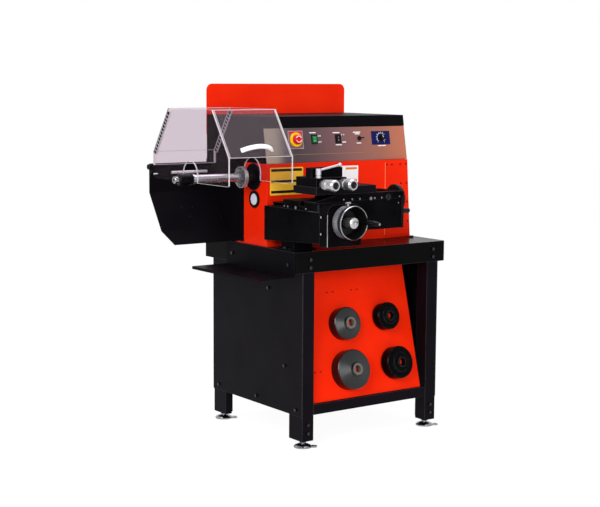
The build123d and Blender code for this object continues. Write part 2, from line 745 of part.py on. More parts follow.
# Lower slide: a tapering knee with a dovetail way, carried by the headstock and a foot
bed_side = [
    (head_front, bed_low_back), (head_front, bed_top), (bed_front, bed_top), (bed_front, bed_low_front),
]
bed = prism_x(bed_side, bed_left, bed_right)
tail = [
    (slide_x - tail_half, bed_top), (slide_x + tail_half, bed_top),
    (slide_x + tail_half + tail_flare, bed_top + tail_h),
    (slide_x - tail_half - tail_flare, bed_top + tail_h),
]
bed += prism_y(tail, bed_front, head_front - 2)
bed -= block(bed_left + 14, bed_right - 14, bed_front + 12, head_front - 12, bed_low_front + 14, bed_top - 12)
bed -= block(slide_x - 9, slide_x + 9, bed_front + 12, head_front - 12, bed_top - 13, bed_top + tail_h)
bed -= rod_y(screw_y_r + 1, slide_x, bed_front, bed_front + 12, wheel_z)
foot_t = 5.0
bed += block(slide_x - 46, slide_x + 46, knee_front, knee_back, table_z, bed_low_back + 16)
bed += block(slide_x - 66, slide_x + 66, knee_front, knee_back + 6, table_z, table_z + foot_t)
for x in (slide_x - 54, slide_x + 54):
    fasteners.append(Pos(x, knee_bolt_y, table_z + foot_t) * bolt(13, 7, 5, 18))
    bed -= rod_z(5 + hole_gap, x, knee_bolt_y, table_z, table_z + foot_t)
    tray -= rod_z(5 + hole_gap, x, knee_bolt_y, under_table, table_z)
save("y_bed", bed)
spare_x = table_right - 36
spare_y = head_proud - 36
fasteners.append(Pos(spare_x, spare_y, table_z) * bolt(16, 7, 5, table_t))
tray -= rod_z(5 + hole_gap, spare_x, spare_y, under_table, table_z)
save("table_top", tray)

# Front bearing block for the lower screw
block_line = block(bed_left, bed_right, block_front, bed_front, block_low, block_top)
top_edges = block_line.edges().filter_by(Axis.Y).group_by(Axis.Z)[-1]
front_block = fillet(top_edges, 34)
front_block -= rod_y(screw_y_r + turn_gap, slide_x, block_front, bed_front, wheel_z)
for z in (bed_top - 15, bed_top - 80):
    fasteners.append(Pos(bed_left, bed_front - 14, z) * Rot(0, -90, 0) * bolt(10, 4, 3, 14))
    front_block -= rod_x(3 + hole_gap, bed_left, bed_left + 15, bed_front - 14, z)
save("bearing_block", front_block)
save("fasteners", *fasteners)

# Saddle on the lower slide, with the nut arm of the lower screw
saddle_front = bed_front + 2
saddle_low = bed_top + slide_gap
saddle = block(bed_left, bed_right, saddle_front, saddle_back, saddle_low, saddle_top)
g = turn_gap
way = [
    (slide_x - tail_half - g, bed_top), (slide_x + tail_half + g, bed_top),
    (slide_x + tail_half + tail_flare + g, bed_top + tail_h + g),
    (slide_x - tail_half - tail_flare - g, bed_top + tail_h + g),
]
saddle -= prism_y(way, saddle_front, saddle_back)
saddle -= block(bed_left, bed_right, screw_x_y - 17, screw_x_y + 17, channel_low, saddle_top)
saddle += block(slide_x - 7.5, slide_x + 7.5, 5, 45, wheel_z + 10, saddle_top - 12)
saddle += block(slide_x - 17, slide_x + 17, 5, 45, wheel_z - 17, wheel_z + 17)
saddle -= rod_y(screw_y_r + turn_gap + 0.1, slide_x, 5, 45, wheel_z)
save("y_saddle", saddle)

# Upper slide bed with its drop box and dovetail groove
xbed = block(xbed_left, xbed_right - 6, xbed_front, xbed_back, saddle_top, xbed_top)
nose_line = [
    (bed_left, saddle_top), (bed_left, saddle_top + 2), (xbed_left, xbed_top - 1), (xbed_left, saddle_top),
]
xbed += prism_y(nose_line, xbed_front, nose_back)
xbox_front = xbed_front + xbox_in
xbed += block(xbox_left, xbed_right - 6, xbox_front, xbed_back, xbox_low, saddle_top)
groove = 16.0
half = 35.0
flare = 8.0
groove_line = [
    (screw_x_y - half, xbed_top), (screw_x_y + half, xbed_top),
    (screw_x_y + half + flare, xbed_top - groove), (screw_x_y - half - flare, xbed_top - groove),
]
xbed -= prism_x(groove_line, xbed_left, xbed_right - 6)
xbed -= block(xbed_left, xbed_right - 14, screw_x_y - 10, screw_x_y + 10, saddle_top, xbed_top - groove)
xbed -= block(xbox_left + 8, xbed_right - 14, xbox_front + 8, xbed_back - 8, xbox_low + 8, saddle_top)
xbed -= block(xbox_left, xbox_left + 8, screw_x_y - 10, screw_x_y + 10, channel_low, saddle_top)
xbed -= rod_x(screw_x_r + 1, xbed_right - 14, xbed_right - 6, screw_x_y, screw_x_z)
end_plate = block(xbed_right - 6, xbed_right, xbed_front, xbed_back, xbox_low, xbed_top)
end_plate -= rod_x(screw_x_r + turn_gap, xbed_right - 6, xbed_right, screw_x_y, screw_x_z)
slide_screws = []
gib_screw = turned([(0, 0), (4, 0), (4, 2), (2.5, 3), (0, 3)])
gib_z = saddle_top + 6
for along in (21, 63, 101, 176, 211):
    slide_screws.append(toward_front(xbed_left + along, xbed_front, gib_z) * gib_screw)
lock_x = xbed_left + 152
slide_screws.append(toward_front(lock_x, xbed_front, gib_z) * bolt(13, 7, 3, 1))
oil_cap = turned([(0, 0), (13, 0), (13, 3), (10, 5), (0, 5)])
slide_screws.append(toward_front(xbed_right - 83, xbed_front, gib_z + 1) * oil_cap)
xbed -= rod_y(3 + hole_gap, lock_x, xbed_front, xbed_front + 1.5, gib_z)
gib_low = bed_top + 9
for y in (saddle_back - 11, saddle_back - 35, bed_front + 88):
    slide_screws.append(Pos(bed_left, y, gib_low) * Rot(0, -90, 0) * gib_screw)
slide_screws.append(Pos(bed_left, bed_front + 150, gib_low) * Rot(0, -90, 0) * hexagon(12, 6))
small_head = turned([(0, 0), (2.6, 0), (2.6, 1.5), (1.6, 2), (0, 2)])
slide_screws.append(toward_front(xbed_right - 23, xbed_front, saddle_top + 7) * small_head)
slide_screws.append(toward_front(xbed_right - 23, xbox_front, saddle_top - 19) * small_head)
save("x_bed", xbed, end_plate)
save("slide_screws", *slide_screws)

# Lower screw with its deep handwheel, graduated ring and turning grip
wheel_place = toward_front(slide_x, block_front - 1, wheel_z)
neck_back = wheel_r - 12.5
neck_front = wheel_r - 6.5
neck_d = 40.0
bowl = [
    (screw_y_r, 0), (neck_back, 0), (neck_front, neck_d), (wheel_r, neck_d + 8), (wheel_r, wheel_d - 3),
    (wheel_r - 2, wheel_d), (wheel_r - 5, wheel_d - 2), (wheel_r - 9, 44), (48, 10), (24, 8), (20, 14),
    (20, wheel_d - 1), (screw_y_r, wheel_d - 1),
]
wheel = wheel_place * turned(bowl)
pin_x = slide_x + grip_reach
pin_back = block_front - 1 - 46
wheel -= rod_y(7, pin_x, pin_back - 30, pin_back + 4, wheel_z)
pin = rod_y(7, pin_x, pin_back - 22, pin_back + 4, wheel_z)
pin += rod_y(4, pin_x, grip_end, pin_back - 20, wheel_z) + rod_y(7, pin_x, cap_end, grip_end, wheel_z)
save("y_handwheel", wheel, pin)
ring_a = 6.0
ring_b = 34.0
ring_r = wheel_r - 2.5
taper = (neck_front - neck_back) / neck_d
ring_in = [neck_back + taper * d + turn_gap for d in (ring_a, ring_b)]
ring = [(ring_in[0], ring_a), (ring_r, ring_a), (ring_r, ring_b), (ring_in[1], ring_b)]
collar = wheel_place * turned(ring)
thumb_y = block_front - 1 - 20
thumb = rod_z(4, slide_x, thumb_y, wheel_z + ring_r - 2, wheel_z + ring_r + 8)
thumb += rod_x(4, slide_x - 11, slide_x + 11, thumb_y, wheel_z + ring_r + 10)
save("y_dial", collar + thumb)
save("y_screw", rod_y(screw_y_r, slide_x, block_front - wheel_d, head_front - 14, wheel_z))
grip_len = pin_back - 22.6 - grip_end
grip_bore = 4 + turn_gap
grip = [(grip_bore, 0), (7.5, 0), (9.5, 12), (10.5, 48), (8, grip_len), (grip_bore, grip_len)]
save("y_grip", toward_front(pin_x, pin_back - 22.3, wheel_z) * turned(grip))

# Upper screw with its wheel and turning grip
xwheel = [
    (screw_x_r, 0.5), (16, 0.5), (16, 12), (xwheel_r - 4, 12), (xwheel_r, 15), (xwheel_r, 27),
    (xwheel_r - 4, 30), (screw_x_r, 30),
]
xwheel_body = along_x(xbed_right, screw_x_y, screw_x_z) * turned(xwheel)
xpin_z = screw_x_z - xgrip_reach
xpin = rod_x(4, xbed_right + 20, xgrip_end, screw_x_y, xpin_z)
xpin += rod_x(xgrip_r - 2, xgrip_end, xgrip_end + 3, screw_x_y, xpin_z)
save("x_handwheel", xwheel_body + xpin)
save("x_screw", rod_x(screw_x_r, xbed_left + 15, xbed_right + 30, screw_x_y, screw_x_z))
xgrip = rod_x(xgrip_r, xbed_right + 30.4, xgrip_end - 0.3, screw_x_y, xpin_z)
save("x_grip", xgrip - rod_x(4 + turn_gap, xbed_right + 30, xgrip_end, screw_x_y, xpin_z))

# Tool table that rides the upper slide; its dovetail key is at the right end
tool_low = xbed_top + slide_gap
tool_table = block(cut_left, tool_end, cut_front, cut_back, tool_low, cut_mid)
key = [
    (screw_x_y - half + g, tool_low), (screw_x_y + half - g, tool_low),
    (screw_x_y + half + flare - 2 * g, xbed_top - groove + g),
    (screw_x_y - half - flare + 2 * g, xbed_top - groove + g),
]
tool_table += prism_x(key, tool_end - 84, tool_end - 1)
nut_a = tool_end - 32
nut_b = tool_end - 2
tool_table += block(nut_a, nut_b, screw_x_y - 9, screw_x_y + 9, channel_low + 1, xbed_top - groove + 1)
tool_table -= rod_x(screw_x_r + turn_gap + 0.1, nut_a, nut_b, screw_x_y, screw_x_z)
save("tool_table", tool_table)

# Twin cutter: body with two pockets and a slot for the disc, a cross bar, two arms, two knobs and a lever
cutter = block(cut_left, cut_right, cut_front, cut_rear, cut_mid, cut_top)
play = 5.0
pocket_front = cut_front + 36
for side_sign in (-1, 1):
    arm_x = cut_mid_x + side_sign * arm_half
    pocket_half = arm_w / 2 + play
    pocket_low = arm_low - slide_gap
    pocket_top = arm_low + arm_h + slide_gap
    cutter -= block(arm_x - pocket_half, arm_x + pocket_half, pocket_front, cut_rear, pocket_low, pocket_top)
    cutter -= rod_y(6 + hole_gap + 0.1, cut_mid_x + side_sign * knob_half, cut_front, cut_front + 32, knob_z)
slot_half = disc_slot_w / 2
cutter -= block(cut_mid_x - slot_half, cut_mid_x + slot_half, disc_slot_end, cut_rear, cut_mid, cut_top)
cutter -= rod_z(6 + hole_gap, lever_x, lever_y, cut_top - 14, cut_top)
cross_bar = block(cut_left, cut_right + 2, bar_front, bar_back, cut_top, cut_top + 38)
save("cutter_body", cutter, cross_bar)
for node, side_sign in (("left", -1), ("right", 1)):
    arm_x = cut_mid_x + side_sign * arm_half
    arm = block(arm_x - arm_w / 2, arm_x + arm_w / 2, pocket_front + 4, arm_back, arm_low, arm_low + arm_h)
    tip = [(arm_x, arm_back - 12), (arm_x - side_sign * 19, arm_back - 4), (arm_x, arm_back)]
    arm += prism_z(tip, arm_low + 8, arm_low + 12)
    save(f"tool_arm_{node}", arm)
    knob_x = cut_mid_x + side_sign * knob_half
    micrometer = [
        (0, -30), (6, -30), (6, slide_gap), (16, slide_gap), (16, 14), (20, 16), (20, 38), (17.5, 40),
        (17.5, 47), (knob_r, 50), (knob_r, knob_len - 6), (knob_r - 4, knob_len), (knob_r - 9, knob_len),
        (knob_r - 9, knob_len - 4), (0, knob_len - 4),
    ]
    save(f"knob_{node}", toward_front(knob_x, cut_front, knob_z) * turned(micrometer))
hub_top = cut_top + 36
lever_body = rod_z(10, lever_x, lever_y, cut_top + slide_gap, cut_top + 9)
lever_body += rod_z(7, lever_x, lever_y, cut_top + 9, cut_top + 12)
lever_body += rod_z(10.5, lever_x, lever_y, cut_top + 12, hub_top)
lever_body += rod_z(6, lever_x, lever_y, cut_top - 13, cut_top + 1)
ball = (lever_x + 103, lever_y, hub_top + 12)
arm_line = Line((lever_x, lever_y, hub_top - 7), ball)
lever_body += sweep(Plane(origin=arm_line @ 0, z_dir=arm_line % 0) * Circle(4.5), path=arm_line)
lever_body += Pos(*ball) * Sphere(8)
save("clamp_lever", lever_body)
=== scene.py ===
# %% [markdown]
# # A brake lathe on its stand
# This machine turns brake discs and drums true. A red headstock stands on a black steel bench, an arbor
# points out of its left wall under a clear shield, and a cross slide in front carries the cutter.
# The solids come from the frame. What is added here is what a solid does not carry: finishes, plates,
# graduations, knurling and the bright edges of the clear sheet.

# %% Load the frame
import math

import bmesh
import bpy
import numpy as np
from mathutils import Matrix, Vector


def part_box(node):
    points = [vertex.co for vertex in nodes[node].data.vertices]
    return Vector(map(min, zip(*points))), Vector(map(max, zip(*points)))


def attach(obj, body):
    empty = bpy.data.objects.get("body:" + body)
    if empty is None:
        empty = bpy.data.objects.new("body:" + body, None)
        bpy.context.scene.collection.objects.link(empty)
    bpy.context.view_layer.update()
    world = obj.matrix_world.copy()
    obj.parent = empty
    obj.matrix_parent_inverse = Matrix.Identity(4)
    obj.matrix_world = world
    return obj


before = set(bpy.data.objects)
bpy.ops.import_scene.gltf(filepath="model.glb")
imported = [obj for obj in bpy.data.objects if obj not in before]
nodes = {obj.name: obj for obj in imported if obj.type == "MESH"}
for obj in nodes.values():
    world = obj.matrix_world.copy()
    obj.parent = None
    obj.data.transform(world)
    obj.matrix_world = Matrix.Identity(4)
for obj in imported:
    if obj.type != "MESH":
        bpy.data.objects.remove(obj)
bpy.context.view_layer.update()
MM = 0.001

# %% [markdown]
# ## Colours and nodes
# A colour is easiest to choose as the hex value that a screen shows, but a renderer adds light in linear
# numbers. One function does that change for every material. A second one adds a shader node, sets its
# values and links its inputs, so that a material reads as a short list.


# %% Colour and node helpers
def linear(hex_colour):
    """Screen colour to linear light: low channels divided by 12.92, the others raised to the power 2.4."""
    channels = np.array([int(hex_colour[i:i + 2], 16) for i in (1, 3, 5)]) / 255
    low = channels / 12.92
    high = ((channels + 0.055) / 1.055) ** 2.4
    return (*np.where(channels <= 0.04045, low, high).tolist(), 1.0)


def add(tree, kind, settings=None, links=None):
    """Add one shader node, set its properties, inputs or ramp stops by name, and link its inputs."""
    new = tree.nodes.new(kind)
    for name, value in (settings or {}).items():
        if name == "stops":
            elements = new.color_ramp.elements
            while len(elements) < len(value):
                elements.new(0.5)
            for element, (place, colour) in zip(elements, value):
                element.position = place
                element.color = linear(colour)
        elif isinstance(name, int) or name in new.inputs:
            new.inputs[name].default_value = value
        else:
            setattr(new, name, value)
    for name, source in (links or {}).items():
        tree.links.new(source, new.inputs[name])
    return new


def finish(name, colour, sockets):
    """New material: one surface shader with its constant sockets set, and its object coordinates."""
    mat = bpy.data.materials.new(name)
    mat.use_nodes = True
    shader = mat.node_tree.nodes["Principled BSDF"]
    shader.inputs["Base Color"].default_value = linear(colour)
    for socket, value in sockets.items():
        shader.inputs[socket].default_value = value
    where = add(mat.node_tree, "ShaderNodeTexCoord").outputs["Object"]
    return mat, shader, where


def per_metre(size_mm):
    """Texture scale for features of this size in millimetres: one over the size in metres."""
    return 1 / (size_mm * MM)


print("a mid grey is", round(linear("#808080")[0], 3), "in linear light")


# %% [markdown]
# ## What real surfaces have
# A surface that is one flat colour looks like a drawing. Real ones have a fine bump, a gloss that wanders,
# a tint that drifts, and edges that catch the light, which are given a painted highlight. Each is one
# function here, and a finish takes what it needs.
# Noise lies mostly between 0.3 and 0.7, so these two places stand for its low and its high end.

# %% Surface helpers
NOISE_LOW, NOISE_HIGH = 0.3, 0.7
GLOSS_DETAIL, TINT_DETAIL = 4.0, 5.0
# Cosine between the rounded and the flat normal where the painted edge highlight starts, and where it is
# full.
FLAT_COS, HIGHLIGHT_COS = 0.99, 0.8
EDGE_SAMPLES = 6


def grain(mat, shader, where, size_mm, height_mm, detail=2.0):
    """Bump from noise whose lumps have this size and height in millimetres."""
    tree = mat.node_tree
    noise = add(
        tree, "ShaderNodeTexNoise", {"Scale": per_metre(size_mm), "Detail": detail}, {"Vector": where}
    )
    bump = add(tree, "ShaderNodeBump", {"Distance": height_mm * MM}, {"Height": noise.outputs["Fac"]})
    tree.links.new(bump.outputs["Normal"], shader.inputs["Normal"])
    return bump


def spread(mat, shader, where, socket, size_mm, low, high):
    """Let a plain number socket wander between two values over patches of this size."""
    tree = mat.node_tree
    noise = add(
        tree, "ShaderNodeTexNoise", {"Scale": per_metre(size_mm), "Detail": GLOSS_DETAIL}, {"Vector": where}
    )
    change = add(
        tree, "ShaderNodeMapRange",
        {"From Min": NOISE_LOW, "From Max": NOISE_HIGH, "To Min": low, "To Max": high},
        {"Value": noise.outputs["Fac"]},
    )
    tree.links.new(change.outputs["Result"], shader.inputs[socket])


def mottle(mat, shader, where, size_mm, dark, light):
    """Tint that drifts between two colours over patches of this size."""
    tree = mat.node_tree
    noise = add(
        tree, "ShaderNodeTexNoise", {"Scale": per_metre(size_mm), "Detail": TINT_DETAIL}, {"Vector": where}
    )
    tint = add(
        tree, "ShaderNodeValToRGB", {"stops": [(NOISE_LOW, dark), (NOISE_HIGH, light)]},
        {"Fac": noise.outputs["Fac"]},
    )
    tree.links.new(tint.outputs["Color"], shader.inputs["Base Color"])


def tint_over(mat, shader, share, colour):
    """Lay a second colour over the tint that the shader has, by a share from 0 to 1."""
    tree = mat.node_tree
    first = shader.inputs["Base Color"].links[0].from_socket
    mixed = add(tree, "ShaderNodeMixRGB", {"Color2": linear(colour)}, {"Fac": share, "Color1": first})
    tree.links.new(mixed.outputs["Color"], shader.inputs["Base Color"])


def highlight_edges(mat, shader, bump, width_mm, colour):
    """Round the shading at edges and paint a highlight tint where the rounded normal leaves the flat one.
    """
    tree = mat.node_tree
    bevel = add(tree, "ShaderNodeBevel", {"Radius": width_mm * MM, "samples": EDGE_SAMPLES})
    eased = bevel.outputs["Normal"]
    tree.links.new(eased, bump.inputs["Normal"])
    flat = add(tree, "ShaderNodeNewGeometry").outputs["True Normal"]
    near = add(tree, "ShaderNodeVectorMath", {"operation": "DOT_PRODUCT"}, {0: eased, 1: flat})
    mask = add(
        tree, "ShaderNodeMapRange", {"From Min": FLAT_COS, "From Max": HIGHLIGHT_COS},
        {"Value": near.outputs["Value"]},
    )
    tint_over(mat, shader, mask.outputs["Result"], colour)


def beyond(mat, shader, where, axis, start, stop, colour):
    """Run the tint over to a second colour between two places along one axis, in metres."""
    tree = mat.node_tree
    place = add(tree, "ShaderNodeSeparateXYZ", None, {"Vector": where}).outputs[axis]
    share = add(tree, "ShaderNodeMapRange", {"From Min": start, "From Max": stop}, {"Value": place})
    tint_over(mat, shader, share.outputs["Result"], colour)


print("noise is read between", NOISE_LOW, "and", NOISE_HIGH)


# %% [markdown]
# ## Painted steel
# The bench, the chip guard and the cover are bent sheet under a satin black powder coat. Powder melts
# into a skin with a faint orange-peel ripple, about two millimetres across, and shows small changes of
# gloss where hands and chips rub it. The red powder coat of the headstock is the same skin with more
# gloss. Edges are tinted paler than the skin as a painted highlight, and the access panel's left edge
# carries a light red painted highlight.
# A picture of paint would show its repeat on such large sheets. Noise in three dimensions has none.

# %% Powder coats
TINT_MM, GLOSS_MM, PEEL_MM = 180, 130, 2.2


def powder(name, tints, highlight_tint, roughness, shine, ripple_mm, highlight_mm):
    """Powder coat: tint and gloss drift over patches, a ripple runs over it, edges take a painted highlight
    tint.
    """
    mat, shader, where = finish(name, tints[0], {"Roughness": roughness, "Specular IOR Level": shine})
    mottle(mat, shader, where, TINT_MM, *tints)
    spread(mat, shader, where, "Roughness", GLOSS_MM, roughness * 0.9, roughness * 1.2)
    highlight_edges(mat, shader, grain(mat, shader, where, PEEL_MM, ripple_mm), highlight_mm, highlight_tint)
    return mat


# After the colours: roughness, mirror level, height of the ripple and width of the painted edge highlight
# in mm.
# Satin black of the bench: broad soft glints, and grey lines painted on the folds as highlights.
black_coat = powder("powder coat satin black", ("#08060a", "#0e0b11"), "#4c484e", 0.4, 0.035, 0.05, 2.2)
# The table is wiped often, so it is smoother: the red front shows in it as a dim mirror image.
table_coat = powder("powder coat wiped black", ("#050405", "#080708"), "#4c484e", 0.2, 0.03, 0.02, 2.2)
# Guard, cover and shelf: a flat black with hardly a glint.
guard_coat = powder("powder coat plain black", ("#070609", "#0c0a0e"), "#1a181c", 0.4, 0.02, 0.05, 1.2)
# Glossy red of the headstock: full colour, with edges that catch the light.
red_coat = powder("powder coat gloss red", ("#dc2006", "#e42808"), "#f0502a", 0.32, 0.05, 0.04, 1.4)
# The rack is the same red, less glossy, and a little brighter as painted light, for the light its
# upward-leaning face catches.
rack_coat = powder("powder coat bright red", ("#e62206", "#ee2a0a"), "#f0502a", 0.36, 0.03, 0.04, 1.4)
# Pale, smooth red for a painted highlight along the access panel's left edge.
highlight_red = powder("powder coat worn red", ("#fa6038", "#ff6c42"), "#ff8058", 0.3, 0.08, 0.02, 1.0)
print("powder coats:", black_coat.name, "and five more")

# %% [markdown]
# ## Cast iron
# The slides are grey iron castings under black enamel. The sand mould leaves lumps of two or three
# millimetres, which break up the gloss, and corners get a grey painted highlight. Lumps so small could be
# modelled, but a bump with their real size and height gives the eye the same with far fewer faces.

# %% Castings
black_enamel, shader, where = finish(
    "enamel black on cast iron", "#060506", {"Roughness": 0.42, "Specular IOR Level": 0.012}
)
mottle(black_enamel, shader, where, size_mm=90, dark="#040304", light="#0b0a0c")
spread(black_enamel, shader, where, "Roughness", size_mm=60, low=0.36, high=0.52)
lumps = grain(black_enamel, shader, where, size_mm=3.0, height_mm=0.12, detail=4.0)
# Grey painted highlight on the corners.
highlight_edges(black_enamel, shader, lumps, width_mm=1.6, colour="#46434a")
print("castings:", black_enamel.name)

# %% [markdown]
# ## Bare and plated metal
# Bolts, screws, the arbor and the knobs are steel, and each has its own grey and its own blur: chrome
# mirrors sharply, zinc is softer, ground steel is even, oiled and oxided steel is nearly black. The
# scratches that make the blur are far too fine to draw, so the roughness stands for them. The bump of
# about a millimetre is coarser than the real one, so that it shows. A dull or satin metal mirrors less of
# the room, which a lower metallic value gives.

# %% Metals
TEXTURE_H = 0.02
# Heights just over the table, in metres, between which the screws' tint changes.
SCREW_LOW, SCREW_HIGH = 0.83, 0.84
bell_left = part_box("bell_clamp")[0][0]
# Along X, the bell's tint turns to a painted shade between these two places.
BELL_RIM_END, BELL_SHADE_START = bell_left + 0.012, bell_left + 0.02


def metal(name, roughness, patch_mm, dark, light, metallic=1.0, texture_mm=None, tail=None):
    """Metal: gloss and tint drift over patches, with a fine bump, or a second tint past a place."""
    mat, shader, where = finish(name, dark, {"Metallic": metallic, "Roughness": roughness})
    mottle(mat, shader, where, patch_mm, dark, light)
    spread(mat, shader, where, "Roughness", patch_mm / 2, roughness * 0.75, roughness * 1.3)
    if texture_mm:
        grain(mat, shader, where, texture_mm, TEXTURE_H)
    if tail:
        beyond(mat, shader, where, *tail)
    return mat


# After the name: roughness, size of the patches in mm, and the two greys.
# Zinc plate on the feet: a bluish white with a soft glint.
zinc = metal("bright zinc plate", 0.2, 30, "#8c8c91", "#a4a4a8", texture_mm=1.0)
# Black zinc plate on bolts and screws: dark, with a glint on the rim. Those above the table are darker.
dark_zinc = metal(
    "black zinc plate", 0.3, 20, "#2e2d30", "#403f42", texture_mm=1.0,
    tail=("Z", SCREW_LOW, SCREW_HIGH, "#222124"),
)
# Chrome on the arbor: a sharp mirror, light where it sees the room and dark where it sees the guard.
chrome = metal("polished chrome plate", 0.12, 50, "#8e8d92", "#a2a1a5")
# Turned steel of lead screws and arms: a mid grey with a broken glint.
steel = metal("turned steel", 0.28, 25, "#6a696e", "#848387", texture_mm=0.8)
# Ground steel of knobs, washer and spacer: pale and even.
ground = metal("ground steel", 0.24, 60, "#aeacb0", "#bab8bb", metallic=0.88)
# Black oxide under oil, on the nut and the toggle: nearly black, with a soft grey glint.
oxide = metal("black oxide steel", 0.35, 20, "#101012", "#1e1e21")
# Satin chrome of the clamp lever: it blurs the room, so it looks pale and not like a mirror.
satin = metal("satin chrome plate", 0.42, 25, "#a29ea6", "#b6b2ba", metallic=0.55, texture_mm=0.6)
# Drawn steel of the rest bar: near white under the lamps.
drawn = metal("bright drawn steel", 0.3, 40, "#cecad0", "#dad6dc", metallic=0.3)
# Turned steel of the bell clamp: a bright rim at its left end, and the rest darkened as painted shade.
bell_coat = metal(
    "turned bell steel", 0.26, 60, "#9c9a9e", "#acaaae", metallic=0.75,
    tail=("X", BELL_RIM_END, BELL_SHADE_START, "#242326"),
)
# Dull chrome of the graduated ring: grey enough for black marks to be read.
dull = metal("dull chrome plate", 0.32, 25, "#8a868e", "#9a969e", metallic=0.7)
# Turned aluminium of the pulleys: a pale neutral grey.
aluminium = metal("turned aluminium", 0.3, 25, "#9c9da1", "#b4b5b8")
# Oiled steel of the wiper strip: dark grey, with no clear mirror image.
dark_steel = metal("oiled steel", 0.4, 20, "#403e42", "#504e52")
print("metals:", zinc.name, "and eleven more")

# %% [markdown]
# ## Plastics and rubber
# Switches and grips are moulded with a fine spark-eroded texture, which takes the sharpness off their
# highlights. The real texture is about a tenth of a millimetre. It is drawn near one, so that it shows.
# One function gives them all, and only the colour and the gloss change.

# %% Moulded plastics
MOULD_MM = 20


def moulded(name, colour, roughness, texture_mm=0.9, height_mm=0.02):
    """Moulded plastic with a fine texture from the tool."""
    mat, shader, where = finish(name, colour, {"Roughness": roughness, "Specular IOR Level": 0.15})
    spread(mat, shader, where, "Roughness", MOULD_MM, roughness * 0.85, roughness * 1.15)
    grain(mat, shader, where, texture_mm, height_mm)
    return mat


# Black of wheels, grips and switches: wide soft highlights on a deep black.
black_plastic = moulded("moulded black plastic", "#09090a", 0.33)
# Red of the stop button, green of the power rocker: clear colours with a small sharp highlight.
red_plastic = moulded("moulded red plastic", "#c8102a", 0.3)
green_plastic = moulded("moulded green plastic", "#087a3c", 0.25)
# Yellow of the stop disc, white of the handle: bright, with little gloss.
yellow_plastic = moulded("moulded yellow plastic", "#f0c010", 0.35)
white_plastic = moulded("moulded white plastic", "#e8e4e6", 0.35)
# Rubber of the belt: matt, with no highlight.
belt_rubber = moulded("belt rubber", "#101010", 0.7, texture_mm=1.5, height_mm=0.1)
print("plastics:", black_plastic.name, "and five more")

# %% [markdown]
# ## Clear sheet and lamp glass
# The shield is clear acrylic sheet: it is nearly invisible face on. Dust settles on the faces that look
# up, so the veil over what is behind grows with the upward part of the sheet's normal. Its sawn edges
# scatter light and look white. Real refraction would need many more samples for a sheet this thin, so a
# see-through shader with a veil is used. The lamp's lens is pressed glass: pale, with its ribs in the bump.

# %% Acrylic
DUST_LOW, DUST_HIGH = 0.014, 0.11
acrylic, shader, where = finish(
    "clear acrylic sheet", "#a597a0", {"Roughness": 0.06, "Specular IOR Level": 0.3}
)
spread(acrylic, shader, where, "Roughness", size_mm=80, low=0.04, high=0.09)
tree = acrylic.node_tree
clear = add(tree, "ShaderNodeBsdfTransparent", {"Color": linear("#f4f0f3")})
normal = add(tree, "ShaderNodeTexCoord").outputs["Normal"]
upward = add(tree, "ShaderNodeSeparateXYZ", None, {"Vector": normal}).outputs["Z"]
dust = add(tree, "ShaderNodeMapRange", {"To Min": DUST_LOW, "To Max": DUST_HIGH}, {"Value": upward})
veiled = add(
    tree, "ShaderNodeMixShader", None,
    {0: dust.outputs["Result"], 1: clear.outputs["BSDF"], 2: shader.outputs["BSDF"]},
)
tree.links.new(veiled.outputs["Shader"], tree.nodes["Material Output"].inputs["Surface"])
acrylic_edge, shader, where = finish(
    "sawn acrylic edge", "#c4bec3", {"Roughness": 0.3, "Specular IOR Level": 0.3, "Alpha": 0.9}
)
spread(acrylic_edge, shader, where, "Roughness", size_mm=15, low=0.2, high=0.45)
print("clear sheet:", acrylic.name, "and", acrylic_edge.name)

# %% Lamp glass
LENS_RIB_MM, LENS_RIB_H = 8, 1.0
lamp_glass, shader, where = finish(
    "ribbed lamp glass", "#bcc0c8", {"Roughness": 0.2, "Specular IOR Level": 0.2}
)
tree = lamp_glass.node_tree
ribs = add(
    tree, "ShaderNodeTexWave",
    {"Scale": per_metre(LENS_RIB_MM) / (2 * math.pi), "bands_direction": "Y", "Distortion": 1.0},
    {"Vector": where},
)
bump = add(tree, "ShaderNodeBump", {"Distance": LENS_RIB_H * MM}, {"Height": ribs.outputs["Fac"]})
tree.links.new(bump.outputs["Normal"], shader.inputs["Normal"])
print("glass:", lamp_glass.name)

# %% [markdown]
# ## The printed board
# The control board is a printed sheet: a pale olive end under the shield runs through dark grey-brown to
# a copper brown at the right end. One ramp over the board's own length gives that, so no picture is needed.
# The film's fine texture is drawn at about a millimetre, coarser than it is, so that it shows.

# %% Board
board_sheet, shader, where = finish(
    "printed control board", "#6a4a40", {"Roughness": 0.4, "Specular IOR Level": 0.08}
)
tree = board_sheet.node_tree
board_left, board_right = (corner[0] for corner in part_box("control_board"))
along = add(tree, "ShaderNodeSeparateXYZ", None, {"Vector": where}).outputs["X"]
share = add(
    tree, "ShaderNodeMapRange", {"From Min": board_left, "From Max": board_right}, {"Value": along}
)
board_stops = [
    (0.0, "#aaa78d"), (0.07, "#9c9982"), (0.13, "#5c5656"), (0.2, "#4b4145"), (0.32, "#534246"),
    (0.55, "#745253"), (0.8, "#905e50"), (1.0, "#ac664e"),
]
print_run = add(tree, "ShaderNodeValToRGB", {"stops": board_stops}, {"Fac": share.outputs["Result"]})
tree.links.new(print_run.outputs["Color"], shader.inputs["Base Color"])
spread(board_sheet, shader, where, "Roughness", size_mm=60, low=0.3, high=0.38)
grain(board_sheet, shader, where, size_mm=1.2, height_mm=0.01)
print("board runs over", round(board_right - board_left, 3), "m")

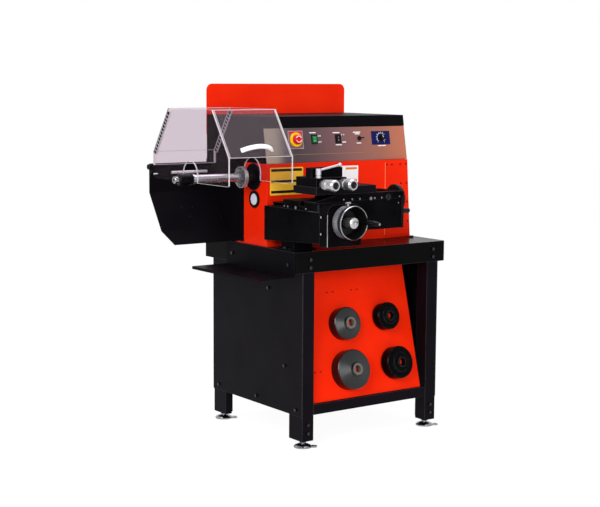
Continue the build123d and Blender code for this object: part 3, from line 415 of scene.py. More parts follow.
# %% [markdown]
# ## Turned rings on the cones
# The cones are turned from grey iron and left bare: a pale hub, a near-black band at its foot that is
# painted shade in the groove, and a grey flank that darkens towards the rim. The cups are the same iron
# under black oxide, a glossy black. Grey rings of painted highlight run round the edges of both, and radial
# streaks of painted highlight run over them. A lathe tool leaves rings round the axis. The pattern is
# worked out in the cone's own place: a Mapping node moves the coordinates to its centre and leans them back
# with the rack, and the distance from that axis drives both the tint and a ripple. The real rings are a few
# tenths of a millimetre apart, and they are drawn coarser, so that they show.

# %% Turned iron
RACK_LEAN = 14.7
RING_MM, RING_H = 1.6, 0.12
# A streak spans a fifth of a radian, about 13 mm at the small cone's rim.
STREAK_RAD = 0.2
EDGE_MM = 1.0
# Streaks of painted highlight: the tint is dimmed between them.
HIGHLIGHT_STREAKS = [(NOISE_LOW, "#d4d2d4"), (NOISE_HIGH, "#ffffff")]


def turned_iron(name, node, stops, sockets, edge):
    """Tint and rings by the distance from one cone's leaning axis, painted highlight streaks by the turn
    about it.
    """
    mat, shader, where = finish(name, stops[-1][1], sockets)
    tree = mat.node_tree
    low, high = (np.array(c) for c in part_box(node))
    turn_back = (math.pi / 2 - math.radians(RACK_LEAN), 0, 0)
    placed = add(
        tree, "ShaderNodeMapping",
        {"vector_type": "TEXTURE", "Location": tuple((low + high) / 2), "Rotation": turn_back},
        {"Vector": where},
    )
    flat = add(
        tree, "ShaderNodeVectorMath", {"operation": "MULTIPLY", 1: (1, 1, 0)},
        {0: placed.outputs["Vector"]},
    ).outputs["Vector"]
    radius = add(tree, "ShaderNodeVectorMath", {"operation": "LENGTH"}, {0: flat}).outputs["Value"]
    share = add(tree, "ShaderNodeMapRange", {"From Max": (high[0] - low[0]) / 2}, {"Value": radius})
    turn = add(tree, "ShaderNodeVectorMath", {"operation": "NORMALIZE"}, {0: flat}).outputs["Vector"]
    rays = add(tree, "ShaderNodeTexNoise", {"Scale": 1 / STREAK_RAD, "Detail": 6.0}, {"Vector": turn})
    tint = add(tree, "ShaderNodeValToRGB", {"stops": stops}, {"Fac": share.outputs["Result"]})
    streak = add(tree, "ShaderNodeValToRGB", {"stops": HIGHLIGHT_STREAKS}, {"Fac": rays.outputs["Fac"]})
    streaked = add(
        tree, "ShaderNodeMixRGB", {"blend_type": "MULTIPLY", "Fac": 1.0},
        {"Color1": tint.outputs["Color"], "Color2": streak.outputs["Color"]},
    )
    tree.links.new(streaked.outputs["Color"], shader.inputs["Base Color"])
    rings = add(
        tree, "ShaderNodeTexNoise", {"noise_dimensions": "1D", "Scale": per_metre(RING_MM), "Detail": 3.0},
        {"W": radius},
    )
    bump = add(tree, "ShaderNodeBump", {"Distance": RING_H * MM}, {"Height": rings.outputs["Fac"]})
    tree.links.new(bump.outputs["Normal"], shader.inputs["Normal"])
    # The edge colour is a painted highlight.
    highlight_edges(mat, shader, bump, EDGE_MM, edge)
    return mat


print("rings are drawn", RING_MM, "mm apart on a rack that leans", RACK_LEAN, "degrees")

# %% Cones and cups
# Radii in millimetres. Each stop below is a share of the rim's radius and the colour there.
HUB_R, GROOVE_R = 25.5, 30.0
CONE_RIMS = {"small": 67.0, "large": 82.0}
cup_stops = [(0.0, "#0a090a"), (0.5, "#050405"), (1.0, "#040304")]
bare_iron = {"Metallic": 0.12, "Roughness": 0.26, "Specular IOR Level": 0.38}
gloss_oxide = {"Roughness": 0.15, "Specular IOR Level": 0.03}
turned_coats = {}
for size, rim_r in CONE_RIMS.items():
    hub, groove = HUB_R / rim_r, GROOVE_R / rim_r
    # Pale hub, near-black painted shade in the groove, then a flank that darkens towards the rim.
    cone_stops = [
        (hub * 0.75, "#66625d"), (hub * 0.97, "#5a5651"), (hub, "#040304"), (groove, "#040304"),
        (groove + 0.03, "#1e2020"), (0.93, "#121313"), (0.985, "#0a0a0b"),
    ]
    turned_coats[f"cone_{size}"] = turned_iron(
        f"turned iron {size} cone", f"cone_{size}", cone_stops, bare_iron, "#58565a"
    )
    turned_coats[f"cup_{size}"] = turned_iron(
        f"oxided iron {size} cup", f"cup_{size}", cup_stops, gloss_oxide, "#68666a"
    )
print("turned iron on", len(turned_coats), "pieces")

# %% [markdown]
# ## Finishes on the solids
# Every solid of the frame gets one of these finishes by its node name. One table holds them all, so that
# a finish is changed in one place, and the last line tells whether a solid was missed.

# %% Assign
coats = {
    black_coat: "legs front_rail stand_panels spindle_cartridge hinge_pins tool_table",
    guard_coat: "chip_guard head_cover tool_shelf",
    table_coat: "table_top",
    red_coat: "headstock access_panel sign_board",
    rack_coat: "rack_panel",
    black_enamel: "y_bed bearing_block y_saddle x_bed cutter_body drive_motor",
    zinc: "levelling_feet",
    dark_zinc: "fasteners",
    chrome: "arbor",
    ground: "arbor_spacer nut_washer knob_left knob_right",
    satin: "clamp_lever",
    drawn: "stop_bar",
    dull: "y_dial",
    bell_coat: "bell_clamp",
    steel: "spindle_bearings y_screw x_screw tool_arm_left tool_arm_right slide_screws",
    oxide: "arbor_nut toggle_lever",
    aluminium: "spindle_pulley motor_pulley",
    black_plastic: "switch_bodies feed_rocker speed_knob lamp_bezel y_handwheel y_grip x_handwheel x_grip",
    red_plastic: "stop_button",
    green_plastic: "power_rocker",
    white_plastic: "shield_handle",
    belt_rubber: "drive_belt",
    acrylic: "shield",
    lamp_glass: "lamp_lens",
    board_sheet: "control_board",
}
finish_of = {name: mat for mat, names in coats.items() for name in names.split()}
for name, mat in {**finish_of, **turned_coats}.items():
    nodes[name].data.materials.clear()
    nodes[name].data.materials.append(mat)
print("solids without a finish:", [n for n in nodes if not nodes[n].data.materials])

# %% [markdown]
# ## Surfaces from arrays
# The small trim is made as surfaces on a grid. A grid of points becomes faces by joining each point with
# its neighbours, and a grid that closes on itself makes a tube or a ring. A few shapes are enough here: a
# turned profile, a sheet with an outline, bars, and a section carried along a path. Sizes are the
# stand's millimetres, measured from its front left corner, and one shift brings them to the frame.

# %% Grid helpers
SHIFT = np.array([-166.0, -161.5, 0.0])
# Columns say where a flat shape's x, y and height point. The height goes out of the front, left or top.
FRONT = np.array([[1, 0, 0], [0, 0, -1], [0, 1, 0]], float)
LEFTWARD = np.array([[0, 0, -1], [-1, 0, 0], [0, 1, 0]], float)
UPRIGHT = np.eye(3)
MERGE_M, SLIVER_M = 1e-6, 1e-7


def grid(points, close_u=True, close_v=True):
    """Faces of a grid: each point (i, j) with (i+1, j), (i+1, j+1) and (i, j+1)."""
    index = np.arange(points.shape[0] * points.shape[1]).reshape(points.shape[:2])
    if close_u:
        index = np.vstack([index, index[:1]])
    if close_v:
        index = np.hstack([index, index[:, :1]])
    quads = np.stack([index[:-1, :-1], index[1:, :-1], index[1:, 1:], index[:-1, 1:]], -1)
    return points.reshape(-1, 3), quads.reshape(-1, 4)


def lay(solid, axes, origin):
    """Turn a solid so that its own axes lie along the columns of a matrix, then move it."""
    points, faces = solid
    return points @ axes.T + np.asarray(origin, float), faces


def join(solids):
    """Several solids as one: faces count on from the points before them."""
    starts = np.cumsum([0] + [len(points) for points, _ in solids[:-1]])
    return (
        np.vstack([points for points, _ in solids]),
        np.vstack([faces + start for (_, faces), start in zip(solids, starts)]),
    )


def piece(name, body, slot, mat, *solids, sharp=35):
    """Mesh of one or more closed solids: doubles merged, normals out, riding a body of the frame."""
    points, faces = join(solids)
    mesh = bpy.data.meshes.new(name)
    mesh.from_pydata(((points + SHIFT) * MM).tolist(), [], faces.tolist())
    work = bmesh.new()
    work.from_mesh(mesh)
    bmesh.ops.remove_doubles(work, verts=work.verts, dist=MERGE_M)
    bmesh.ops.dissolve_degenerate(work, edges=work.edges, dist=SLIVER_M)
    bmesh.ops.recalc_face_normals(work, faces=work.faces)
    work.to_mesh(mesh)
    work.free()
    mesh.shade_smooth()
    mesh.set_sharp_from_angle(angle=math.radians(sharp))
    mesh.materials.append(mat)
    new = bpy.data.objects.new(name, mesh)
    bpy.context.scene.collection.objects.link(new)
    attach(new, body)
    print(name, "has", len(mesh.polygons), "faces and rides", body)
    return new


print("the stand's corner lies at", (SHIFT * MM).tolist(), "in the frame")


# %% Turned and flat shapes
def lathe(profile, segments=64, wave=None):
    """Closed profile of (radius, height) turned about the third axis; a wave may swell some radii."""
    radius, height = np.array(profile, float).T
    angle = np.linspace(0, 2 * np.pi, segments, endpoint=False)
    swell = np.zeros((len(radius), segments)) if wave is None else wave(angle)
    reach = radius[:, None] + swell
    points = np.stack(
        [reach * np.cos(angle), reach * np.sin(angle), np.repeat(height[:, None], segments, 1)], -1
    )
    return grid(points)


def circle(radius, count):
    """Round outline with a number of points."""
    angle = np.linspace(0, 2 * np.pi, count, endpoint=False)
    return radius * np.stack([np.cos(angle), np.sin(angle)], -1)


def rounded(width, height, radius, steps=6):
    """Outline of a rectangle with round corners: a circle whose quarters are moved apart."""
    quarter = np.linspace(0, np.pi / 2, steps)
    angle = np.concatenate([quarter + k * np.pi / 2 for k in range(4)])
    sign = np.repeat([[1, 1], [-1, 1], [-1, -1], [1, -1]], steps, 0)
    half = np.array([width / 2 - radius, height / 2 - radius])
    return sign * half + radius * np.stack([np.cos(angle), np.sin(angle)], -1)


def slab(outline, low, high, ease):
    """Sheet over an outline: rings from the middle of one face round the eased edge to the other."""
    shrink = 1 - ease / np.abs(outline).max()
    rings = [(0, high), (shrink, high), (1, high - ease), (1, low), (0, low)]
    points = np.stack([np.column_stack([outline * k, np.full(len(outline), h)]) for k, h in rings])
    return grid(points, close_u=False)


def rim(outer, inner, low, high):
    """Flat ring between two outlines with the same number of points."""
    corners = [(outer, low), (outer, high), (inner, high), (inner, low)]
    return grid(np.stack([np.column_stack([o, np.full(len(o), h)]) for o, h in corners]))


print("a rounded plate's outline has", len(rounded(10, 10, 1)), "points")

# %% Bars and strips
CORNERS = np.array([[x, y, z] for x in (-1, 1) for y in (-1, 1) for z in (-1, 1)], float)
SIDES = np.array([[0, 1, 3, 2], [4, 6, 7, 5], [0, 4, 5, 1], [2, 3, 7, 6], [0, 2, 6, 4], [1, 5, 7, 3]])


def bars(centres, halves, axes):
    """Square bars: eight corners each, half sizes along three axes, all worked out at once."""
    centres = np.atleast_2d(np.asarray(centres, float))
    count = len(centres)
    halves = np.broadcast_to(np.asarray(halves, float), (count, 3))
    axes = np.broadcast_to(np.asarray(axes, float), (count, 3, 3))
    local = CORNERS[None] * halves[:, None]
    points = centres[:, None] + np.einsum("nkj,nij->nki", local, axes)
    faces = SIDES[None] + 8 * np.arange(count)[:, None, None]
    return points.reshape(-1, 3), faces.reshape(-1, 4)


def spokes(turn):
    """Unit spokes at these angles, and for each the axes along it, across it and up, as columns."""
    spoke = np.stack([np.cos(turn), np.sin(turn), np.zeros(len(turn))], -1)
    up = np.tile((0.0, 0.0, 1.0), (len(turn), 1))
    return spoke, np.stack([spoke, np.cross((0, 0, 1), spoke), up], -1)


def open_tube(rows):
    """Tube of four rows of points, with a face over each end."""
    count = len(rows[0])
    points, faces = grid(np.stack(rows), close_v=False)
    first = np.arange(4) * count
    return points, np.vstack([faces, first[None], (first + count - 1)[None, ::-1]])


def trail(path, low, high, out, inside):
    """Square section carried along an open path: corners move along the mitre of their two sides."""
    ahead = np.diff(path, axis=0)
    ahead /= np.linalg.norm(ahead, axis=1)[:, None]
    normal = np.stack([-ahead[:, 1], ahead[:, 0]], -1)
    both = np.vstack([normal[:1], normal]) + np.vstack([normal, normal[-1:]])
    mitre = 2 * both / (both ** 2).sum(1)[:, None]
    corners = [(out, low), (out, high), (-inside, high), (-inside, low)]
    return open_tube([np.column_stack([path + r * mitre, np.full(len(path), h)]) for r, h in corners])


def arc_strip(r0, r1, start, stop, low, high, steps=24):
    """Flat strip along part of a circle between two radii and two heights."""
    angle = np.radians(np.linspace(start, stop, steps))
    ray = np.stack([np.cos(angle), np.sin(angle)], -1)
    corners = [(r0, low), (r1, low), (r1, high), (r0, high)]
    return open_tube([np.column_stack([r * ray, np.full(steps, h)]) for r, h in corners])


print("a bar has", len(CORNERS), "corners and", len(SIDES), "faces")

# %% [markdown]
# ## Edges of the clear shield
# A clear sheet shows mostly by its sawn edges, which gather light and look white. Each gable gets a thin
# band round its whole outline, with the arch over the arbor, and each pane a bar along its free edge and
# its bends. Bars are the plainest shape for this, and they ride the shield as it swings.

# %% Gable outlines
GABLES = {"left": (-331.0, -326.0, 54.0), "right": (-37.0, -32.0, 60.0)}
SHIELD_LOW, SHIELD_BEND, SHIELD_TOP = 1068.0, 1177.0, 1358.0
AXIS_Y = 313.0
ARCH_Z = SHIELD_LOW + 31.0
FRONT_FOOT, FRONT_TOP, BACK_TOP, BACK_FOOT = 30.0, 151.0, 483.0, 604.0
BACK_LOW = 1122.0
TOE_R = 7.0
ARCH_POINTS, TOE_POINTS = 25, 6
ACROSS = np.array([[0, 0, 1], [1, 0, 0], [0, 1, 0]], float)


def gable(arch_r):
    """Bright outline of a gable in (y, z): over the arch, along the front, over the top, down the back."""
    turn = np.radians(np.linspace(0, 180, ARCH_POINTS))
    arch = np.stack([AXIS_Y + arch_r * np.cos(turn), ARCH_Z + arch_r * np.sin(turn)], -1)
    corner = np.radians(np.linspace(270, 180, TOE_POINTS))
    toe_centre = (FRONT_FOOT + TOE_R, SHIELD_LOW + TOE_R)
    toe = np.stack([np.cos(corner), np.sin(corner)], -1) * TOE_R + toe_centre
    rest = [
        (FRONT_FOOT, SHIELD_BEND), (FRONT_TOP, SHIELD_TOP), (BACK_TOP, SHIELD_TOP),
        (BACK_FOOT, SHIELD_BEND), (BACK_FOOT, BACK_LOW),
    ]
    feet = [(AXIS_Y + arch_r, SHIELD_LOW), (AXIS_Y - arch_r, SHIELD_LOW)]
    return np.vstack([feet[:1], arch, feet[1:], toe, rest])


def slope(foot, top):
    """Middle, half length and axes of a sloping sheet: along X, across the sheet and up it."""
    rise = np.array([0.0, top[0] - foot[0], top[1] - foot[1]])
    length = np.linalg.norm(rise)
    up = rise / length
    middle = np.array([0.0, (foot[0] + top[0]) / 2, (foot[1] + top[1]) / 2])
    return middle, length / 2, np.column_stack([(1, 0, 0), np.cross(up, (1, 0, 0)), up])


print("gable outlines have", [len(gable(arch_r)) for _, _, arch_r in GABLES.values()], "points")

# %% Bright edges
PROUD, EDGE_IN = 0.2, 0.6
BOND_W, BOND_HALF_X, BOND_HALF_T, BOND_OUT = 9.0, 0.7, 0.9, 0.6
x_left, x_right = GABLES["left"][0], GABLES["right"][1]
edge_solids = []
for x0, x1, arch_r in GABLES.values():
    band = trail(gable(arch_r), x0 - PROUD, x1 + PROUD, PROUD, EDGE_IN)
    edge_solids.append(lay(band, ACROSS, (0, 0, 0)))
# Bars along the panes: the place (y, z) of each middle, and its half sizes in y and z.
pane_bars = [
    ((FRONT_FOOT + 2.6, SHIELD_BEND + 1.0), (3.0, 0.9)),
    ((FRONT_TOP + 1.0, SHIELD_TOP - 1.0), (3.2, 1.2)),
    ((BACK_TOP - 1.0, SHIELD_TOP - 1.0), (3.2, 1.2)),
    ((BACK_FOOT - 1.4, SHIELD_BEND), (1.7, 0.7)),
    ((BACK_FOOT - 2.5, BACK_LOW + 0.6), (2.8, 0.8)),
]
for (y, z), half_yz in pane_bars:
    halves = ((x_right - x_left) / 2 + PROUD, *half_yz)
    edge_solids.append(bars([((x_left + x_right) / 2, y, z)], halves, UPRIGHT))
# Two bright lines up the front slope, where it is bonded to the gables.
front_mid, front_half, front_axes = slope((FRONT_FOOT, SHIELD_BEND), (FRONT_TOP, SHIELD_TOP))
for x in (x_left + BOND_W, x_right - BOND_W):
    spot = front_mid + (x, 0, 0) - front_axes[:, 1] * BOND_OUT
    edge_solids.append(bars([spot], (BOND_HALF_X, BOND_HALF_T, front_half), front_axes))
piece("shield_edges", "shield", "clear_sheet", acrylic_edge, *edge_solids)

# %% [markdown]
# ## Bonded strips
# The two rear slopes carry a bonded strip like a ladder: two thin rails, and rungs between dark spots. All
# rungs of a strip are one array of places along the slope, and so are all spots. A picture of the strip
# would look flat from the side, while bars stand off the sheet as the real strip does.

# %% Strips and spots
SPOT_PITCH, SPOT_HALF, SPOT_PROUD = 16.0, 5.2, 0.8
SPOT_START, SPOT_STOP = 8, 6
STRIP_W, RAIL_HALF, RUNG_HALF, FOOT_HALF, STRIP_PROUD = 24.0, 0.7, 1.5, 4.0, 0.5
back_mid, back_half, back_axes = slope((BACK_FOOT, SHIELD_BEND), (BACK_TOP, SHIELD_TOP))
inward = back_axes[:, 1] if back_axes[1, 1] < 0 else -back_axes[:, 1]
strip_mid = back_mid + inward * (STRIP_W / 2 + STRIP_PROUD)
up_slope = np.arange(-back_half + SPOT_START, back_half - SPOT_STOP, SPOT_PITCH)
foot_half = (SHIELD_BEND - BACK_LOW) / 2 - 1
strips, spots = [], []
for x0, x1, _ in GABLES.values():
    mid_x, half_x = (x0 + x1) / 2, (x1 - x0) / 2 + STRIP_PROUD
    centre = strip_mid + (mid_x, 0, 0)
    rails = centre + np.outer((-1, 1), back_axes[:, 1]) * (STRIP_W / 2 - RAIL_HALF)
    strips.append(bars(rails, (half_x, RAIL_HALF, back_half - 2), back_axes))
    row = centre + up_slope[:, None] * back_axes[:, 2]
    rungs = row[:-1] + back_axes[:, 2] * SPOT_PITCH / 2
    strips.append(bars(rungs, (half_x, STRIP_W / 2, RUNG_HALF), back_axes))
    foot = (mid_x, BACK_FOOT - FOOT_HALF - STRIP_PROUD, (SHIELD_BEND + BACK_LOW) / 2)
    strips.append(bars([foot], (half_x, FOOT_HALF, foot_half), UPRIGHT))
    spots.append(bars(row, ((x1 - x0) / 2 + SPOT_PROUD, SPOT_HALF, SPOT_HALF), back_axes))
piece("shield_strips", "shield", "clear_sheet", acrylic_edge, *strips)
piece("shield_spots", "shield", "black_plastic", black_plastic, *spots)

# %% [markdown]
# ## Plates on the headstock
# Two thin plastic plates are stuck on the red front. They are rounded sheets just proud of the paint, with
# plain bars of colour on top. Flat ink under a clear skin has an even colour and a faint uneven gloss. Real
# sheets are used here and not a second colour in the paint, because their edges cast a fine shadow.

# %% Plates
HEAD_FRONT = 216.0
PLATE_T, INK_LOW, INK_TOP = 0.8, 0.7, 1.0
PLATE_EASE = 0.15
FILM_GLOSS, FILM_MM = 0.35, 15
YELLOW_BOX, WHITE_BOX = (-13, 152, 1008, 1120), (342, 438, 1046, 1117)


def printed(name, colour):
    """Printed plastic film: a flat ink under a clear skin with faint unevenness."""
    mat, shader, where = finish(name, colour, {"Roughness": FILM_GLOSS, "Specular IOR Level": 0.08})
    spread(mat, shader, where, "Roughness", FILM_MM, FILM_GLOSS * 0.85, FILM_GLOSS * 1.2)
    grain(mat, shader, where, size_mm=6.0, height_mm=0.02)
    return mat


def stuck(box, low, high, radius):
    """Rounded sheet on the headstock's front, over a box (x0, x1, z0, z1), between two heights."""
    x0, x1, z0, z1 = box
    sheet = slab(rounded(x1 - x0, z1 - z0, radius), low, high, PLATE_EASE)
    return lay(sheet, FRONT, ((x0 + x1) / 2, HEAD_FRONT, (z0 + z1) / 2))


yellow_film = printed("printed film yellow", "#f2bc38")
dark_film = printed("printed film dark", "#1c1a10")
white_film = printed("printed film white", "#e6e0e4")
orange_film = printed("printed film orange", "#d07820")
dark_rows = [(-8, 145, z0, z1) for z0, z1 in ((1104, 1115), (1060, 1069), (1016, 1027))]
orange_rows = [(371, 431, z0, z1) for z0, z1 in ((1101, 1110), (1051, 1061))]
dark_bars = [stuck(row, INK_LOW, INK_TOP, 2) for row in dark_rows]
orange_bars = [stuck(row, INK_LOW, INK_TOP, 1) for row in orange_rows]
piece("plate_yellow", "stand", "board", yellow_film, stuck(YELLOW_BOX, 0, PLATE_T, 4))
piece("plate_yellow_bars", "stand", "board", dark_film, *dark_bars)
piece("plate_white", "stand", "white_plastic", white_film, stuck(WHITE_BOX, 0, PLATE_T, 3))
piece("plate_white_bars", "stand", "board", orange_film, *orange_bars)

# %% [markdown]
# ## A place for the control board's trim
# The board leans back by ten degrees. Placing each mark on a leaning sheet by hand would be slow and never
# exact, so the trim is laid out flat, in millimetres along and up the board, and then turned with it.


# %% Board frame
def leaning(degrees):
    """Axes of a sheet that leans back, as columns: along it, up it and out of its face."""
    turn = math.radians(degrees)
    return np.array([[1, 0, 0], [0, math.sin(turn), -math.cos(turn)], [0, math.cos(turn), math.sin(turn)]])


BOARD_LEAN = 10.23
BOARD = leaning(BOARD_LEAN)
BOARD_FOOT = np.array([0.0, 221.0, 1136.0])


def on_board(solid, along=0.0, up=0.0):
    """Lay a flat solid on the leaning board at a place along and up it."""
    return lay(solid, BOARD, BOARD_FOOT + BOARD @ np.array([along, up, 0.0]))


STOP_X, POWER_X, FEED_X, TOGGLE_X, SPEED_X = 128.0, 223.0, 346.0, 458.0, 576.0
SWITCH_UP = 95.0
label_film = printed("printed film label", "#745a60")
pale_film = printed("printed film pale", "#c9aab4")
gold_film = printed("printed film gold", "#9a7440")
blue_film = printed("printed film blue", "#10134a")
print("board leans on", BOARD_FOOT.tolist())

# %% [markdown]
# ## Stop switch
# The stop switch stands on a square label with a pale line round it and a red bar at its top. A yellow disc
# lies under the red button, and two white arcs on the button tell which way it turns. The label is a flat
# ring from a square outline to a round hole with as many points, and the disc is turned.

# %% Stop switch
LABEL_W, LABEL_HOLE_R, LABEL_T = 76.6, 12, 1.8
LINE_OUT, LINE_IN = 73, 70.4
BAR_W, BAR_H, BAR_UP = 70, 7, 31
ARC_STARTS, ARC_TURN = (20, 200), 140
label = rim(rounded(LABEL_W, LABEL_W, 3, 16), circle(LABEL_HOLE_R, 64), 0, LABEL_T)
line_out, line_in = rounded(LINE_OUT, LINE_OUT, 2.5, 16), rounded(LINE_IN, LINE_IN, 2, 16)
outline = rim(line_out, line_in, LABEL_T - 0.2, LABEL_T + 0.3)
top_bar = slab(rounded(BAR_W, BAR_H, 1), LABEL_T - 0.1, LABEL_T + 0.3, 0.1)
disc = lathe([(9, 1.4), (29.4, 1.4), (29.4, 8.2), (28.4, 9.4), (20.8, 9.4), (20.8, 5.4), (9, 5.4)])
turns = [arc_strip(11.4, 14.2, a, a + ARC_TURN, 24.8, 25.9) for a in ARC_STARTS]
arrows = [on_board(mark, STOP_X, SWITCH_UP) for mark in turns]
piece("stop_label", "stand", "board", label_film, on_board(label, STOP_X, SWITCH_UP))
piece("stop_label_line", "stand", "board", pale_film, on_board(outline, STOP_X, SWITCH_UP))
piece("stop_label_bar", "stand", "red_plastic", red_plastic, on_board(top_bar, STOP_X, SWITCH_UP + BAR_UP))
piece("stop_disc", "stand", "board", yellow_plastic, on_board(disc, STOP_X, SWITCH_UP))
piece("stop_arrows", "stop_button", "white_plastic", white_film, *arrows)

# %% [markdown]
# ## Toggle bushing and speed plate
# The toggle comes out of a black bushing. The speed knob turns over a blue plate with a white arc
# and eleven ticks, and a white line on the knob is its pointer. All ticks are one array of bars on spokes.

# %% Toggle and speed plate
SPEED_TICKS, TICK_R = 11, 25
SPEED_LOW, SPEED_HIGH = 225, -45
ARC_IN, ARC_OUT = 19.6, 21.4
bushing = lathe([(4.3, 0.1), (9.4, 0.1), (9.4, 4.4), (8.2, 5.5), (4.3, 5.5)], 40)
piece("toggle_bushing", "stand", "black_plastic", oxide, on_board(bushing, TOGGLE_X, SWITCH_UP))
blue = rim(rounded(100, 58, 1.5, 16), circle(8.4, 64), 0, 0.7)
piece("speed_plate", "stand", "board", blue_film, on_board(blue, SPEED_X - 1, SWITCH_UP))
spoke, tick_axes = spokes(np.radians(np.linspace(SPEED_LOW, SPEED_HIGH, SPEED_TICKS)))
ticks = bars(spoke * TICK_R + (0, 0, 0.8), (2.0, 0.5, 0.25), tick_axes)
arc = arc_strip(ARC_IN, ARC_OUT, SPEED_HIGH, SPEED_LOW, 0.55, 1.0, 48)
marks = [on_board(mark, SPEED_X, SWITCH_UP) for mark in (ticks, arc)]
piece("speed_marks", "stand", "white_plastic", white_film, *marks)
DIAGONAL = 0.707
slant = np.column_stack([(-DIAGONAL, DIAGONAL, 0), (DIAGONAL, DIAGONAL, 0), (0, 0, 1)])
pointer = bars([(-3.4, 3.4, 22)], (4.2, 0.9, 0.5), slant)
piece("speed_pointer", "speed_knob", "white_plastic", white_film, on_board(pointer, SPEED_X, SWITCH_UP))

# %% [markdown]
# ## Printed lines beside the switches
# A thin gold line runs along the board's foot, short white lines lie beside the switches, and each rocker
# has a stroke and a ring moulded in. Ink is a film a few hundredths of a millimetre thick. It is made a
# third of a millimetre here, so that it stays clear of the board's own face in the render.

# %% Printed lines
INK_T, INK_EASE, LINE_H = 0.35, 0.1, 4.0
RULE_W, RULE_H, RULE_X, RULE_UP = 500, 1.6, 228, 34
rule = slab(rounded(RULE_W, RULE_H, 0.7), 0, INK_T, INK_EASE)
piece("board_line", "stand", "board", gold_film, on_board(rule, RULE_X, RULE_UP))
stroke = bars([(0, 6, 5.1)], (0.5, 2.4, 0.3), UPRIGHT)
ring = lay(lathe([(1.7, 4.8), (2.6, 4.8), (2.6, 5.4), (1.7, 5.4)], 24), UPRIGHT, (0, -6, 0))
for name, along in (("power", POWER_X), ("feed", FEED_X)):
    marks = [on_board(mark, along, SWITCH_UP) for mark in (stroke, ring)]
    piece(f"{name}_marks", f"{name}_rocker", "white_plastic", pale_film, *marks)
# Place along the board, height over the switches' middle, and length of each line.
lines = [
    (POWER_X - 6, 28, 32), (FEED_X - 7, 26, 35), (FEED_X + 2, -25, 32), (FEED_X + 21, 17, 5),
    (FEED_X + 33, 17, 4), (FEED_X + 31, -14, 20), (TOGGLE_X - 10, 26, 39), (TOGGLE_X - 8, 19, 25),
    (TOGGLE_X - 3, -20, 24), (SPEED_X + 2, -34, 42),
]
flat_lines = [slab(rounded(wide, LINE_H, 0.8), 0, INK_T, INK_EASE) for _, _, wide in lines]
words = [on_board(flat, x, SWITCH_UP + up) for flat, (x, up, _) in zip(flat_lines, lines)]
piece("board_words", "stand", "white_plastic", white_film, *words)

# %% [markdown]
# ## Words by the power switch
# ON and OFF stand beside the power rocker. A font's outlines are the quickest way to letters: they are
# filled and thickened, turned into a mesh, and their points are laid on the board as one array.

# %% Words by the power switch
WORD_H, WORD_T = 10, 0.2


def letters(name, text, along, up):
    """Flat words as a mesh: the font's outlines filled and thickened, then laid on the board."""
    curve = bpy.data.curves.new(name, "FONT")
    curve.body = text
    curve.size = WORD_H
    curve.align_x = "LEFT"
    curve.align_y = "CENTER"
    curve.extrude = WORD_T
    curve.resolution_u = 3
    holder = bpy.data.objects.new(name, curve)
    mesh = bpy.data.meshes.new_from_object(holder)
    bpy.data.objects.remove(holder)
    flat = np.empty(len(mesh.vertices) * 3)
    mesh.vertices.foreach_get("co", flat)
    laid, _ = on_board((flat.reshape(-1, 3) + (0, 0, WORD_T), None), along, up)
    mesh.vertices.foreach_set("co", ((laid + SHIFT) * MM).ravel())
    mesh.update()
    mesh.materials.append(white_film)
    new = bpy.data.objects.new(name, mesh)
    bpy.context.scene.collection.objects.link(new)
    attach(new, "stand")


letters("word_on", "ON", POWER_X + 19, SWITCH_UP + 14)
letters("word_off", "OFF", POWER_X + 19, SWITCH_UP - 12)
print("ON and OFF stand beside the power rocker")

# %% [markdown]
# ## Bright trim on the handwheel
# The front handwheel is a deep black bowl. A thin chrome ring runs round its lip, the hub is ground steel,
# and the fittings of its grip are chrome. All of these are turned parts, so each is a profile carried round
# the axis, as on a lathe.

# %% Handwheel
WHEEL = (41.5, -211.0, 936.0)
GRIP = (96.5, -253.0, 936.0)
lip = lathe([(66.4, 57.4), (66.4, 58.4), (64.4, 61.6), (62.6, 60.4), (63.4, 59.0), (65.4, 57.6)], 128)
hub = lathe([(0, 61.4), (5, 61.4), (6.2, 62.6), (15, 62.6), (20.7, 59.6), (20.7, 15), (0, 15)], 64)
base = lathe([(0, -1), (7.6, -1), (7.6, 20), (6.2, 26.1), (0, 26.1)], 40)
cap = lathe([(0, 98.9), (6.6, 98.9), (6.6, 101.6), (4.4, 103.3), (0, 103.3)], 40)
piece("wheel_lip", "y_handwheel", "bright_steel", chrome, lay(lip, FRONT, WHEEL))
piece("wheel_hub", "y_handwheel", "bright_steel", ground, lay(hub, FRONT, WHEEL))
fittings = [lay(base, FRONT, GRIP), lay(cap, FRONT, GRIP)]
piece("grip_fittings", "y_handwheel", "bright_steel", chrome, *fittings)

# %% [markdown]
# ## Graduated ring
# The ring behind the handwheel has fifty marks, and each fifth one is longer. On the real ring they are cut
# and filled with black. Here they are thin black bars on the rim, all worked out at once from their angles.

# %% Graduations
COUNT, DIAL_R, TICK_FRONT = 50, 63.4, 33
spoke, ring_axes = spokes(np.linspace(0, 2 * np.pi, COUNT, endpoint=False))
long_tick = np.where(np.arange(COUNT) % 5 == 0, 6.5, 3.6)
halves = np.column_stack([np.full(COUNT, 0.35), np.full(COUNT, 0.6), long_tick])
centres = spoke * DIAL_R + np.column_stack([np.zeros((COUNT, 2)), TICK_FRONT - long_tick])
dial = lay(bars(centres, halves, ring_axes), FRONT, WHEEL)
piece("dial_ticks", "y_handwheel", "black_plastic", black_plastic, dial)

# %% [markdown]
# ## Micrometer knobs
# Each cutting arm has a stepped bright knob with a knurled band for the fingers and a black end. The knurl
# is a turned ring whose radius swells with a row of ribs: the same profile as a plain band, with a wave in
# the angle added to its two outer points.

# %% Knobs
KNOB_Y, KNOB_Z = -122.0, 1075.0
KNOB_X = {"left": 1.0, "right": 87.0}
RIBS, RIB_H = 44, 0.9


